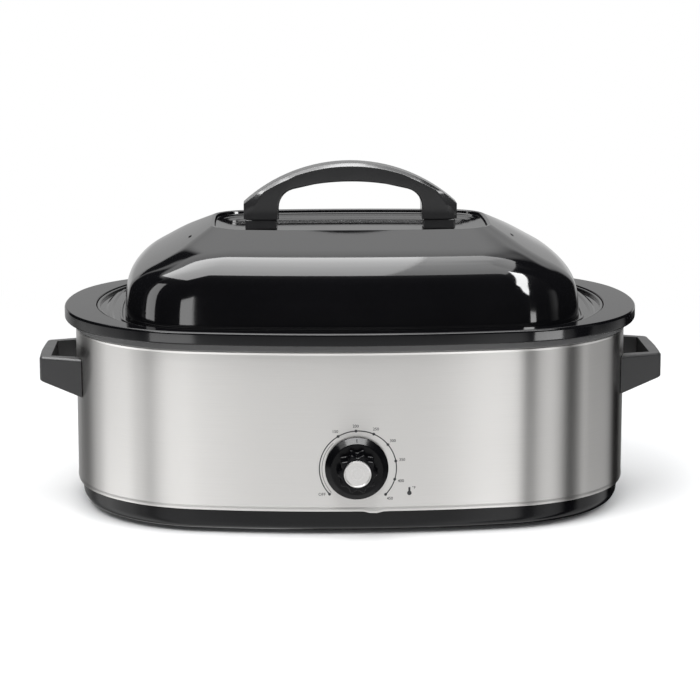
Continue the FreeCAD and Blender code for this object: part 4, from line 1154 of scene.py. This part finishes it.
@dataclass
class Lid:
    """The domed lid, its arched grip and the two spacers under it."""

    finishes: Finishes
    sheet: float = 1.0
    courses: int = 34
    crease_radius: float = 2.0
    recess_inset: float = 3.0
    # the sunk top's section: how far in from its rim, how far below it, and how it is rounded
    dish: tuple[Triple, ...] = (
        (0.0, 0.4, 1.0),
        (0.6, 3.6, 1.0),
        (6.0, 5.3, 12.0),
        (13.0, 6.9, 12.0),
        (20.0, 7.9, 12.0),
        (27.0, 8.3, 12.0),
    )
    vent_x: float = 154.0
    vent_y: float = -38.0
    vent_length: float = 11.0
    vent_width: float = 3.0
    grip_half: float = 103.0
    leg: float = 34.0
    grip_half_depth: float = 15.0
    grip_height: float = 54.5
    shoulder: float = 15.0
    inner_shoulder: float = 26.0
    thickness: float = 18.0
    bend: float = 18.0
    bend_parts: int = 7
    arch_parts: int = 16
    back_chamfer: float = 3.4
    leg_chamfer: float = 10.0
    inner_chamfer: float = 1.2
    spacer_half: float = 15.5
    spacer_deep: float = 13.5

    def build(self) -> None:
        """Model and dress every piece of the lid."""
        self.dome()
        self.grip()
        self.spacers()

    def dome(self) -> None:
        """The enamelled dome, with a sunk top and two steam vents."""
        levels = []
        for course in range(self.courses):
            up = course / self.courses
            height = LID_SEAT + up * (LID_TOP - LID_SEAT)
            levels.append(Level(LID.towards(CREASE, *between_stations(up)).at(height)))
        levels.append(Level(CREASE.at(LID_TOP), self.crease_radius, 5))
        for inwards, below, radius in self.dish:
            levels.append(Level(CREASE.grown(-self.recess_inset - inwards).at(LID_TOP - below), radius, 3))
        piece = lay_up("lid_dome", rounded(levels), Close.LAST)
        apply_modifier(piece, "SOLIDIFY", thickness=self.sheet * MM, offset=-1.0, use_even_offset=True)
        for side in (-1, 1):
            self.cut_vent(piece, side)
        complete(piece, self.finishes.enamel, "lid", "black_enamel", "lid_shell", limit=50)

    def cut_vent(self, dome: Piece, side: int) -> None:
        """Cut a round-ended steam vent through the dome.

        Args:
            dome: the dome.
            side: 1 for the right-hand vent, -1 for the left-hand one.
        """
        clear_selection()
        bpy.ops.mesh.primitive_cylinder_add(vertices=24, radius=self.vent_width / 2 * MM, depth=60 * MM)
        cutter = bpy.context.object
        bpy.ops.object.mode_set(mode="EDIT")
        half = (self.vent_length - self.vent_width) / 2
        for vertex in edit_mesh(cutter).verts:
            vertex.co.y += math.copysign(half * MM, vertex.co.y)
        bmesh.update_edit_mesh(cutter.data)
        bpy.ops.object.mode_set(mode="OBJECT")
        cutter.location = in_frame(side * self.vent_x, self.vent_y, 260)
        apply_modifier(dome, "BOOLEAN", operation="DIFFERENCE", object=cutter, solver="EXACT")
        bpy.data.objects.remove(cutter)

    def arch(self, half: float, rise: float, top: float) -> list[tuple[float, float]]:
        """The left half of an arc.

        Args:
            half: half of its span.
            rise: how far its crest stands above its feet.
            top: the height of its crest.

        Returns:
            Its points across and up, from the foot to the crest.
        """
        radius = (half**2 + rise**2) / (2 * rise)
        sweep = math.asin(half / radius)
        turns = [sweep * (part / self.arch_parts) for part in range(-self.arch_parts, 1)]
        return [(radius * math.sin(turn), top - radius * (1 - math.cos(turn))) for turn in turns]

    def grip_sections(self) -> list[list[Vector]]:
        """The grip's sections from the left foot over the arch to the right foot."""
        underside = self.grip_height - self.thickness
        inner_half = self.grip_half - self.leg
        outer = self.arch(self.grip_half, self.grip_height - self.shoulder, self.grip_height)[:-1]
        crown = self.arch(inner_half, underside - self.inner_shoulder, underside)
        places = ((-inner_half, -self.shoulder), (-inner_half, self.inner_shoulder), crown[self.bend_parts])
        corner = [Vector((x, 0, z)) for x, z in places]
        inner = [(point.x, point.z) for point in soften(*corner, self.bend, self.bend_parts)]
        inner += crown[self.bend_parts + 1 :]
        left = [
            ((-self.grip_half, 0.0), (-inner_half, 0.0), self.leg_chamfer),
            ((-self.grip_half, self.shoulder * 0.55), (-inner_half, self.shoulder * 0.7), self.leg_chamfer),
        ]
        for number, far in enumerate(outer):
            near = inner[min(int(number * len(inner) / len(outer)), len(inner) - 2)]
            fade = max(0.0, 1 - number / 3)
            left.append((far, near, self.back_chamfer + (self.leg_chamfer - self.back_chamfer) * fade))
        crest = ((0.0, self.grip_height), (0.0, underside), self.back_chamfer)
        right = [((-far[0], far[1]), (-near[0], near[1]), chamfer) for far, near, chamfer in reversed(left)]
        return [self.grip_section(*ends) for ends in (*left, crest, *right)]

    def grip_section(self, far: tuple, near: tuple, chamfer: float) -> list[Vector]:
        """One eight-cornered section of the grip.

        Args:
            far: the section's outer end, across and up.
            near: its inner end.
            chamfer: how far the chamfer runs in from the outer end.

        Returns:
            The corners, in metres.
        """
        start, end = (in_frame(x, 0, z + GRIP_BOTTOM) for x, z in (far, near))
        run = end - start
        deep, slack, inner = (size * MM for size in (self.grip_half_depth, self.back_chamfer, self.inner_chamfer))
        rows = [
            (0.0, deep - slack),
            (chamfer * MM / run.length, deep),
            (1 - inner / run.length, deep),
            (1.0, deep - inner),
        ]
        front = [start + run * along - Vector((0, depth, 0)) for along, depth in rows]
        return front + [start + run * along + Vector((0, depth, 0)) for along, depth in reversed(rows)]

    def grip(self) -> None:
        """The arched grip, chamfered along its back and down its legs."""
        piece = lay_up("lid_grip", self.grip_sections(), Close.CAPS)
        bevel(piece, 0.9, 3, 24)
        complete(piece, self.finishes.plastic, "lid", "black_plastic", "lid_handle", limit=30)

    def spacers(self) -> None:
        """The two moulded spacers under the grip's legs, the second a copy of the first."""
        middle = self.grip_half - self.leg / 2
        clear_selection()
        bpy.ops.mesh.primitive_cube_add(size=1)
        first = named("grip_spacer_1")
        first.scale = Vector((2 * self.spacer_half, 2 * self.spacer_deep, GRIP_BOTTOM - RECESS_FLOOR)) * MM
        first.location = in_frame(-middle, 0, (GRIP_BOTTOM + RECESS_FLOOR) / 2)
        settle(first)
        bevel(first, 1.8, 4)
        pick(first)
        bpy.ops.object.duplicate(linked=False)
        second = named("grip_spacer_2")
        second.location.x = 2 * middle * MM
        settle(second)
        complete(first, self.finishes.plastic, "lid", "black_plastic", "lid_handle_spacers")
        complete(second, self.finishes.plastic, "lid", "black_plastic")


@dataclass
class SideHandles:
    """The two moulded bail handles at the ends."""

    finishes: Finishes
    reach: float = 33.0
    top: float = 146.0
    inner_bottom: float = 109.0
    outer_bottom: float = 123.0
    root_half: float = 62.0
    tip_half: float = 45.0
    gap_root_half: float = 46.3
    gap_tip_half: float = 39.0
    bar: float = 11.0
    bulge: float = 1.3
    bulge_half_way: float = 0.8
    corner: float = 5.0
    edge: float = 1.8

    def wall_x(self, y: float) -> float:
        """How far out the wrap's end stands at a place front to rear, in millimetres."""
        return BODY.half_width - BODY.end_radius + math.sqrt((BODY.end_radius + 0.3) ** 2 - y**2)

    def underside(self, x: float) -> float:
        """The height of the underside at a distance from the oven's middle."""
        share = (x - BODY.half_width) / self.reach
        return self.inner_bottom + max(0.0, share) * (self.outer_bottom - self.inner_bottom)

    def stations(self) -> list[tuple[Vector, Vector]]:
        """Outer and inner points of the bar in plan, from its front root round to the rear one."""
        tip = BODY.half_width + self.reach
        gap_tip = tip - self.bar
        runs = []
        for root, half, x in (
            (self.root_half, self.tip_half, tip),
            (self.gap_root_half, self.gap_tip_half, gap_tip),
        ):
            runs.append([Vector((self.wall_x(root), -root, 0)), Vector((x, -half, 0)), Vector((x, 0, 0))])
        outer, inner = runs
        front = [(outer[0], inner[0])]
        front += zip(soften(*outer, self.corner, 5), soften(*inner, self.corner * 0.5, 5))
        bowed = Vector((tip + self.bulge_half_way, -self.tip_half / 2, 0))
        front.append((bowed, Vector((gap_tip, -self.gap_tip_half / 2, 0))))
        middle = (Vector((tip + self.bulge, 0, 0)), Vector((gap_tip, 0, 0)))
        mirror = Vector((1, -1, 1))
        return [*front, middle, *((far * mirror, near * mirror) for far, near in reversed(front))]

    def build(self) -> None:
        """Model and dress both handles."""
        for name, side in (("right", 1), ("left", -1)):
            sections = []
            for outer, inner in self.stations():
                corners = (
                    (outer, self.underside(outer.x)),
                    (outer, self.top - self.edge),
                    (outer.lerp(inner, self.edge / self.bar), self.top),
                    (inner, self.top),
                    (inner, self.underside(inner.x)),
                )
                sections.append([in_frame(side * place.x, place.y, height) for place, height in corners])
            piece = lay_up("bail_" + name, sections, Close.CAPS)
            turn_outwards(piece)
            bevel(piece, 0.7, 3)
            complete(piece, self.finishes.handle, "base", "black_plastic", "side_handle_" + name, limit=30)


def on_dial(reach: float, turn: float) -> Vector:
    """The place in X and Z at a distance from the knob's axis and an angle clockwise from the top."""
    return Vector((reach * math.sin(turn), 0, KNOB_HEIGHT + reach * math.cos(turn))) * MM


@dataclass
class Control:
    """The knob with its cap, and the dial printed round it."""

    finishes: Finishes
    gap: float = 1.0
    skirt_radius: float = 29.2
    face_radius: float = 23.8
    skirt_lip: float = 1.5
    skirt_depth: float = 6.0
    grip_radius: float = 18.4
    flute_bottom: float = 15.2
    depth: float = 24.0
    lobes: int = 10
    points_a_lobe: int = 16
    cap_radius: float = 12.6
    cap_ring: float = 1.1
    cap_sink: float = 0.4
    dial_radius: float = 35.4
    number_radius: float = 39.8
    number_size: float = 3.8
    mark_radius: float = 1.35
    off: float = -132.5
    marks: tuple[float, ...] = (-31.0, -3.0, 24.0, 51.0, 79.0, 107.0, 134.0)
    numbers: tuple[str, ...] = ("150", "200", "250", "300", "350", "400", "450")
    off_place: tuple[float, float] = (-33.0, -24.2)
    sign_place: tuple[float, float] = (47.4, 44.4)
    arc_parts: int = 64
    pointer_long: float = 2.4
    pointer_wide: float = 1.3
    print_right: float = 1.2
    print_down: float = 0.6
    print_off: float = 0.06

    def build(self) -> None:
        """Model and dress the knob, its cap and the dial."""
        for make in (self.knob, self.pointer, self.cap, self.dial):
            make()

    def front(self, level: float) -> float:
        """Millimetres from the oven's axis to a level before the knob's back."""
        return -(BODY.half_depth + self.gap + level)

    def turned_ring(self, radius: float, level: float, flute: float = 0.0) -> Ring:
        """A ring about the knob's axis, drawn in between its lobes.

        Args:
            radius: the radius at the lobes, in millimetres.
            level: distance from the knob's back, in millimetres.
            flute: how deep the flutes are there, in millimetres.

        Returns:
            The points, in metres.
        """
        count = self.lobes * self.points_a_lobe
        ring = []
        for index in range(count):
            angle = 2 * math.pi * index / count
            reach = radius - flute * abs(math.cos(self.lobes * angle / 2)) ** 1.3
            height = KNOB_HEIGHT + reach * math.cos(angle)
            ring.append(in_frame(reach * math.sin(angle), self.front(level), height))
        return ring

    def turned(self, name: str, *rows: tuple) -> Piece:
        """A piece turned about the knob's axis.

        Args:
            name: its name.
            rows: for each corner ring its radius, its level, its bend's radius and how deep its flutes are.

        Returns:
            The piece.
        """
        levels = [Level(self.turned_ring(radius, level, flute), bend) for radius, level, bend, flute in rows]
        piece = lay_up(name, rounded(levels), Close.CAPS)
        turn_outwards(piece)
        return piece

    def knob(self) -> None:
        """The skirted knob with its flutes, and a well in its face for the cap."""
        flute = self.grip_radius - self.flute_bottom
        piece = self.turned(
            "dial_knob",
            (4.0, 0.0, 0.0, 0.0),
            (self.skirt_radius, 0.0, 0.4, 0.0),
            (self.skirt_radius, self.skirt_lip, 0.8, 0.0),
            (self.face_radius, self.skirt_depth, 1.6, 0.0),
            (self.grip_radius + 0.4, self.skirt_depth, 0.8, flute),
            (self.grip_radius, self.depth, 1.2, flute),
            (self.cap_radius + 0.6, self.depth, 0.3, 0.0),
            (self.cap_radius + 0.3, self.depth - 1.2, 0.2, 0.0),
            (2.0, self.depth - 1.2, 0.0, 0.0),
        )
        complete(piece, self.finishes.knob, "knob", "black_plastic", "control_knob", limit=50)

    def cap(self) -> None:
        """The spun metal cap, with a bright raised ring round its edge."""
        radius, face = self.cap_radius, self.depth
        piece = self.turned(
            "cap_disc",
            (radius, face - self.cap_ring, 0.0, 0.0),
            (radius, face, 0.5, 0.0),
            (radius - self.cap_ring, face, 0.4, 0.0),
            (radius - self.cap_ring - self.cap_sink, face - self.cap_sink, 0.2, 0.0),
            (2.0, face - self.cap_sink, 0.0, 0.0),
        )
        complete(piece, self.finishes.cap, "knob", "satin_cap", "knob_cap", limit=50)

    def pointer(self) -> None:
        """The pointer printed on the skirt's slope, at the top of the knob."""
        clear_selection()
        bpy.ops.mesh.primitive_plane_add(size=1)
        piece = named("knob_pointer")
        slope = (self.face_radius - self.skirt_radius) / (self.skirt_depth - self.skirt_lip)
        for vertex in piece.data.vertices:
            level = (self.skirt_lip + self.skirt_depth) / 2 - math.copysign(self.pointer_long / 2, vertex.co.y)
            radius = self.skirt_radius + slope * (level - self.skirt_lip) + 0.08
            across = math.copysign(self.pointer_wide / 2, vertex.co.x)
            vertex.co = in_frame(across, self.front(level), KNOB_HEIGHT + radius)
        report(piece, self.finishes.ink, "knob", "black_plastic")

    def arc_band(self, radius: float, width: float, begin: float, end: float) -> Piece:
        """A thin printed arc about the knob.

        Args:
            radius: its middle radius in millimetres.
            width: its width in millimetres.
            begin: its first angle, clockwise from the top, in degrees.
            end: its last angle.

        Returns:
            The arc.
        """
        clear_selection()
        bpy.ops.mesh.primitive_plane_add(size=1 * MM)
        piece = named("arc")
        bpy.ops.object.mode_set(mode="EDIT")
        first, step = math.radians(begin), math.radians(end - begin) / self.arc_parts
        mesh = edit_mesh(piece)
        for vertex in mesh.verts:
            far = vertex.co.y >= 0
            vertex.co = on_dial(radius + math.copysign(width / 2, vertex.co.x), first + step * far)
            vertex.select = far
        mesh.select_flush_mode()
        bmesh.update_edit_mesh(piece.data)
        bpy.ops.mesh.select_mode(type="EDGE")
        for part in range(2, self.arc_parts + 1):
            bpy.ops.mesh.extrude_region_move()
            for vertex in edit_mesh(piece).verts:
                if vertex.select:
                    reach = (vertex.co - on_dial(0.0, 0.0)).length / MM
                    vertex.co = on_dial(reach, first + step * part)
        bpy.ops.object.mode_set(mode="OBJECT")
        return piece

    def dot(self, place: Vector, radius: float, corners: int = 20) -> Piece:
        """A round printed mark.

        Args:
            place: its middle in X and Z, in metres.
            radius: its radius in millimetres.
            corners: how many corners stand for the round.

        Returns:
            The mark.
        """
        clear_selection()
        upright = {"rotation": (math.pi / 2, 0, 0), "location": place}
        bpy.ops.mesh.primitive_circle_add(vertices=corners, radius=radius * MM, fill_type="NGON", **upright)
        piece = bpy.context.object
        settle(piece)
        return piece

    def words(self, body: str, size: float, place: Vector) -> Piece:
        """A printed word or number.

        Args:
            body: what it says.
            size: its size in millimetres.
            place: its middle in X and Z, in metres.

        Returns:
            The print as a mesh.
        """
        clear_selection()
        bpy.ops.object.text_add(location=(0, 0, 0))
        text = bpy.context.object
        text.data.body = body
        text.data.size = size * MM
        text.data.align_x = text.data.align_y = "CENTER"
        text.data.offset = 0.04 * MM
        text.data.resolution_u = 4
        bpy.ops.object.convert(target="MESH")
        text = bpy.context.object
        text.rotation_euler = (math.pi / 2, 0, 0)
        text.location = place
        settle(text)
        return text

    def thermometer(self) -> list[Piece]:
        """The small thermometer sign at the lower right: a bulb, a stem and the degree letter."""
        middle = Vector((self.sign_place[0], 0, self.sign_place[1])) * MM
        bulb = self.dot(middle - Vector((0, 0, 3)) * MM, 2.1, 24)
        clear_selection()
        bpy.ops.mesh.primitive_plane_add(size=1, rotation=(math.pi / 2, 0, 0), location=middle)
        stem = bpy.context.object
        stem.scale = (1.9 * MM, 5 * MM, 1)
        settle(stem)
        return [bulb, stem, self.words("°F", 3.6, middle + Vector((4.2, 0, 1.8)) * MM)]

    def dial(self) -> None:
        """The dial's print: arcs, marks, plain numbers and OFF, laid on the curve of the wrap's front."""
        prints = [
            self.arc_band(self.dial_radius, 1.0, self.off, self.marks[-1]),
            self.arc_band(self.dial_radius - 2.4, 0.4, self.off, self.marks[0] - 12),
        ]
        for angle in (self.off, *self.marks):
            prints.append(self.dot(on_dial(self.dial_radius, math.radians(angle)), self.mark_radius))
        for angle, number in zip(self.marks, self.numbers):
            turn = math.radians(angle)
            reach = self.number_radius + 1.6 * abs(math.sin(turn))
            prints.append(self.words(number, self.number_size, on_dial(reach, turn)))
        across, up = self.off_place
        prints.append(self.words("OFF", self.number_size, Vector((across, 0, KNOB_HEIGHT + up)) * MM))
        dial = joined(prints + self.thermometer(), "dial_print")
        for vertex in dial.data.vertices:
            vertex.co.x += self.print_right * MM
            vertex.co.z -= self.print_down * MM
            vertex.co.y = front_surface(vertex.co.x / MM, self.print_off) * MM
        report(dial, self.finishes.ink, "base", "black_plastic")


@dataclass
class Inlet:
    """The cord gland at the rear."""

    finishes: Finishes
    height: float = 46.0
    seat: float = 175.3
    points: int = 64
    # its section: radius, place along its axis and bend
    profile: tuple[Triple, ...] = (
        (4.0, -13.0, 0.5),
        (8.0, -13.0, 0.5),
        (8.0, 0.0, 0.2),
        (11.0, 0.0, 0.3),
        (11.0, 3.0, 0.8),
        (6.6, 9.0, 0.8),
        (4.0, 9.0, 0.6),
    )

    def build(self) -> None:
        """Model and dress the gland."""
        turns = [2 * math.pi * index / self.points for index in range(self.points)]
        levels = []
        for radius, along, bend in self.profile:
            around = [(radius * math.cos(turn), self.height + radius * math.sin(turn)) for turn in turns]
            levels.append(Level([in_frame(x, self.seat + along, z) for x, z in around], bend))
        piece = lay_up("gland", rounded(levels, closed=True), Close.LOOP)
        turn_outwards(piece)
        complete(piece, self.finishes.plastic, "base", "black_plastic", "cord_gland")


def dress_nodes(nodes: dict[str, Piece], finishes: Finishes) -> None:
    """Give every node of the frame its finish.

    Args:
        nodes: the frame's nodes by name.
        finishes: the finishes.
    """
    chosen = {
        finishes.enamel: ("well_liner", "roasting_pan", "lid_shell"),
        finishes.collar: ("base_tray", "top_rim"),
        finishes.steel: ("outer_wrap",),
        finishes.handle: ("side_handle_right", "side_handle_left"),
        finishes.plastic: ("lid_handle", "lid_handle_spacers", "cord_gland", "gland_nut"),
        finishes.knob: ("control_knob",),
        finishes.cap: ("knob_cap",),
        finishes.rubber: ("rubber_feet",),
        finishes.zinc: ("foot_screws", "handle_screws", "lid_screws", "well_posts", "thermostat_bracket"),
        finishes.bright: ("lid_washers", "thermostat_shaft", "roasting_rack"),
        finishes.sheet: ("heat_shield",),
        finishes.sheath: ("band_heater",),
        finishes.blanket: ("insulation_blanket",),
        finishes.ceramic: ("thermostat_body", "terminal_block"),
        finishes.aluminium: ("thermal_fuse",),
        finishes.copper: ("sensing_bulb", "capillary_tube"),
        finishes.sleeve: ("supply_lead", "rear_heater_lead", "front_heater_lead", "fuse_lead"),
    }
    for finish, names in chosen.items():
        for name in names:
            dress(nodes[name], finish)
    left = set(nodes) - {name for names in chosen.values() for name in names}
    if left:
        raise RuntimeError("no finish for %s" % sorted(left))


@dataclass(frozen=True)
class SoftBox:
    """A panel that only the gloss shows, placed in degrees; one with a level below zero is a black flag."""

    bearing: float
    reach: float
    low: float
    high: float
    level: float
    edge: float = 6.0


class Surroundings(NodeBench):
    """The world: plain for the lamps' share, white for the camera, and a studio's panels for the gloss."""

    # height in degrees and level there, before and behind the oven
    ahead = ((-90, 1.25), (-12, 1.25), (-6, 0.02), (10, 0.02), (35, 0.05), (60, 0.4), (90, 1.3))
    behind = ((-90, 1.2), (-12, 1.2), (0, 0.5), (20, 0.6), (40, 1.3), (90, 1.6))
    turn_behind = (95.0, 125.0)
    darkest = 0.01
    boxes = (
        # on the steel: a key and a side box at each end, flags between them and behind the oven
        SoftBox(0, 30, -60, -8, 0.1, 8),
        SoftBox(-36, 15, -60, -8, 0.45, 8),
        SoftBox(-61, 4, -60, -8, -0.4, 4),
        SoftBox(-95, 18, -60, -8, 0.6),
        SoftBox(-152, 24, -60, -8, -0.95, 12),
        SoftBox(25, 5, -60, -8, 0.9, 5),
        SoftBox(38, 6, -60, -8, -0.85, 4),
        SoftBox(57, 5, -60, -8, 0.35, 4),
        SoftBox(78, 8, -60, -8, -1.35, 5),
        SoftBox(108, 20, -60, -8, -0.35),
        SoftBox(162, 32, -60, -8, -1.3, 9),
        # on the lid: a faint box beside its right corner
        SoftBox(95, 15, -6, 10, 0.45, 8),
        # flags for the dark wedges of the lid's corners and for the dark lines down its hips
        SoftBox(-128, 22, -8, 38, -1.3, 5),
        SoftBox(-160, 5, 12, 37, -1.2, 3),
        SoftBox(120, 26, -8, 75, -1.3, 8),
        SoftBox(152, 12, 28, 62, -0.7, 6),
    )

    def __init__(self) -> None:
        """Build the world."""
        world = bpy.data.worlds.new("studio")
        bpy.context.scene.world = world
        world.use_nodes = True
        super().__init__(world.node_tree)
        self.tree.nodes.clear()
        way = self.node("SeparateXYZ", {"Vector": self.node("TexCoord").outputs["Generated"]}).outputs
        bearing = self.math("ARCTAN2", way["X"], self.math("MULTIPLY", way["Y"], -1.0))
        self.bearing = self.math("MULTIPLY", bearing, 180 / math.pi)
        self.height = self.math("MULTIPLY", self.math("ARCSINE", way["Z"]), 180 / math.pi)
        rear = self.step(self.math("ABSOLUTE", self.bearing), *self.turn_behind)
        views = {"Factor": rear, "A": self.bands(self.ahead), "B": self.bands(self.behind)}
        level = self.node("Mix", views, data_type="FLOAT").outputs["Result"]
        for box in self.boxes:
            level = self.math("ADD", level, self.panel(box))
        self.output(self.math("MAXIMUM", level, self.darkest))

    def bands(self, stops: tuple) -> Socket:
        """A level that runs through stops of height and level.

        Args:
            stops: the stops in order, heights in degrees.

        Returns:
            The level.
        """
        low, high = stops[0][0], stops[-1][0]
        top = max(level for _, level in stops)
        ramp = self.node("ValToRGB", {"Fac": self.span(self.height, low, high, 0.0, 1.0)})
        elements = ramp.color_ramp.elements
        while len(elements) < len(stops):
            elements.new(1.0)
        for element, (place, _) in zip(elements, stops):
            element.position = (place - low) / (high - low)
        for element, (_, level) in zip(elements, stops):
            element.color = (level / top, level / top, level / top, 1)
        return self.math("MULTIPLY", ramp.outputs["Color"], top)

    def window(self, angle: Socket, low: float, high: float, edge: float) -> Socket:
        """1 between two angles and 0 beyond them, over a soft edge."""
        rise, fall = self.step(angle, low - edge, low + edge), self.step(angle, high + edge, high - edge)
        return self.math("MULTIPLY", rise, fall)

    def panel(self, box: SoftBox) -> Socket:
        """The level that a soft box adds.

        Args:
            box: the soft box.

        Returns:
            The level.
        """
        across = self.window(self.bearing, box.bearing - box.reach, box.bearing + box.reach, box.edge)
        upright = self.window(self.height, box.low, box.high, box.edge / 2)
        return self.math("MULTIPLY", self.math("MULTIPLY", across, upright), box.level)

    def output(self, level: Socket) -> None:
        """Join the studio, the plain fill and the white background.

        Args:
            level: the level that the gloss shows.
        """
        gloss = self.node("Background", {"Color": level}).outputs[0]
        plain = self.node("Background", {"Color": (0.96, 0.98, 1.0, 1), "Strength": 0.5}).outputs[0]
        white = self.node("Background", {"Color": WHITE}).outputs[0]
        path = self.node("LightPath").outputs
        shiny = self.math("MAXIMUM", path["Is Glossy Ray"], path["Is Transmission Ray"])
        shown = self.mix_shaders(path["Is Camera Ray"], self.mix_shaders(shiny, plain, gloss), white)
        self.node("OutputWorld", {"Surface": shown})


def heading(bearing: float, height: float) -> Vector:
    """The way to a bearing from the front, positive to the right, and a height above the horizon, in degrees."""
    turn, rise = math.radians(bearing), math.radians(height)
    return Vector((math.sin(turn) * math.cos(rise), -math.cos(turn) * math.cos(rise), math.sin(rise)))


@dataclass(frozen=True)
class Glint:
    """A small soft box that one piece's gloss shows: where it aims, from which way, how large and how strong."""

    name: str
    piece: str
    aim: Triple
    bearing: float
    height: float
    size: tuple[float, float]
    power: float
    roll: float = 0.0
    distance: float = 0.65


GLINTS = (
    Glint("lid_patch", "lid_dome", (0.17, -0.125, 0.235), 48, 31, (0.18, 0.8), 10.0, -25),
    Glint("lid_strip_right", "lid_dome", (0.17, -0.135, 0.21), 46, -8, (0.1, 0.07), 0.15),
    Glint("lid_side_left", "lid_dome", (-0.184, -0.103, 0.225), -85, 7, (0.2, 0.52), 1.1),
    Glint("lid_strip_left", "lid_dome", (-0.16, -0.14, 0.21), -29, -5, (0.2, 0.09), 0.27),
    Glint("grip_line", "lid_grip", (0.0, 0.0, 0.32), 0, 78, (5.0, 0.35), 58.0, 0, 1.2),
    Glint("collar_line", "collar", (0.0, -0.18, 0.19), 0, 62, (3.0, 0.6), 75.0, 0, 1.5),
    Glint("collar_patch", "collar", (0.18, -0.16, 0.185), 48, -11, (0.28, 0.07), 0.8),
    Glint("collar_left", "collar", (-0.17, -0.16, 0.185), -38, -11, (0.4, 0.07), 0.5),
    Glint("knob_crescent", "dial_knob", (0.0, -0.18, 0.09), 0, 74, (0.6, 0.4), 22.0),
)


@dataclass
class Studio:
    """The pale floor, the soft lights, the world and the camera."""

    floor_radius: float = 1.6
    fade_from: float = 0.45
    fade_to: float = 1.3
    distance: float = 2.45
    elevation: float = 10.75
    azimuth: float = -2.0
    focal: float = 128.57
    sensor: float = 36.0
    aim: float = 0.142
    lamp_aim: float = 0.15
    lamp_distance: float = 2.6
    # name, bearing, height, size and power of the lamps for the plain surfaces
    soft: tuple[tuple, ...] = (
        ("key", -35, 50, (2.0, 1.6), 42),
        ("fill", 50, 40, (2.0, 1.6), 26),
        ("top", 0, 88, (2.2, 2.2), 34),
    )
    # name, place across, size and power of the panels overhead for the gloss
    overhead: tuple[tuple, ...] = (("overhead", -1.13, (2.95, 3.7), 225), ("overhead_right", 0.93, (1.15, 3.7), 42))

    def build(self) -> None:
        """Set up the studio."""
        self.camera()
        self.floor()
        Surroundings()
        self.lights()
        bpy.context.scene.view_settings.view_transform = "Standard"

    def floor(self) -> None:
        """A pale round floor that fades into the background."""
        clear_selection()
        bpy.ops.mesh.primitive_circle_add(vertices=128, radius=self.floor_radius, fill_type="NGON")
        floor = named("floor")
        graph = Graph("floor_paper")
        graph.set(Base_Color=(0.9, 0.9, 0.9, 1), Roughness=0.9, Specular_IOR_Level=0.1)
        away = graph.node("VectorMath", {0: graph.place((1, 1, 1))}, operation="LENGTH").outputs["Value"]
        fade = graph.step(away, self.fade_from, self.fade_to)
        glow = graph.node("Emission", {"Color": WHITE}).outputs["Emission"]
        shown = graph.mix_shaders(fade, graph.shader.outputs["BSDF"], glow)
        graph.feed(graph.tree.nodes["Material Output"].inputs["Surface"], shown)
        dress(floor, graph.material)
        floor.visible_glossy = False

    def panel(self, name: str, place: Vector, size: tuple[float, float], power: float) -> Piece:
        """A soft rectangular light.

        Args:
            name: its name.
            place: where its middle is, in metres.
            size: its width and depth in metres.
            power: its power in watts.

        Returns:
            The lamp, facing down, which the camera doesn't see.
        """
        light = bpy.data.lights.new(name, "AREA")
        light.shape = "RECTANGLE"
        light.size, light.size_y = size
        light.energy = power
        lamp = bpy.data.objects.new(name, light)
        bpy.context.scene.collection.objects.link(lamp)
        lamp.location = place
        lamp.visible_camera = False
        return lamp

    def aimed(self, name: str, aim: Vector, way: Vector, size: tuple, power: float, roll: float = 0.0) -> Piece:
        """A soft light that faces a point.

        Args:
            name: its name.
            aim: the point, in metres.
            way: the way from there to the light, as long as it is far.
            size: its width and height in metres.
            power: its power in watts.
            roll: how far its head leans towards the left of the oven, in degrees.

        Returns:
            The lamp.
        """
        lamp = self.panel(name, aim + way, size, power)
        lamp.rotation_mode = "QUATERNION"
        lean = Quaternion(UP, math.radians(roll))
        lamp.rotation_quaternion = (-way).to_track_quat("-Z", "Y") @ lean
        return lamp

    def lights(self) -> None:
        """Broad soft lights for the plain surfaces, and two panels overhead for the gloss."""
        middle = Vector((0, 0, self.lamp_aim))
        for name, bearing, height, size, power in self.soft:
            way = heading(bearing, height) * self.lamp_distance
            self.aimed(name, middle, way, size, power).visible_glossy = False
        for name, across, size, power in self.overhead:
            self.panel(name, Vector((across, -0.25, 2.7)), size, power).visible_diffuse = False

    def glints(self) -> None:
        """Small soft boxes close by, each for the gloss of one piece."""
        for glint in GLINTS:
            name = "glints_" + glint.piece
            group = bpy.data.collections.get(name)
            if group is None:
                group = bpy.data.collections.new(name)
                group.objects.link(bpy.data.objects[glint.piece])
            way = heading(glint.bearing, glint.height) * glint.distance
            lamp = self.aimed(glint.name, Vector(glint.aim), way, glint.size, glint.power, glint.roll)
            lamp.visible_diffuse = False
            lamp.light_linking.receiver_collection = group

    def camera(self) -> None:
        """The camera, a little to the left and above."""
        away = heading(self.azimuth, self.elevation)
        data = bpy.data.cameras.new("camera")
        data.lens = self.focal
        data.sensor_width = self.sensor
        data.clip_end = 50.0
        camera = bpy.data.objects.new("camera", data)
        bpy.context.scene.collection.objects.link(camera)
        camera.location = Vector((0, AXIS_Y, self.aim)) + away * self.distance
        camera.rotation_mode = "QUATERNION"
        camera.rotation_quaternion = (-away).to_track_quat("-Z", "Y")
        bpy.context.scene.camera = camera


def main() -> None:
    """Build the oven and its studio."""
    logging.basicConfig(level=logging.INFO, format="%(name)s: %(message)s")
    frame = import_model()
    studio = Studio()
    studio.build()
    finishes = Finishes()
    dress_nodes(frame["nodes"], finishes)
    for assembly in (Base, Pan, Rack, Lid, SideHandles, Control, Inlet):
        assembly(finishes).build()
    studio.glints()
    clear_selection()


if __name__ == "__main__":
    main()
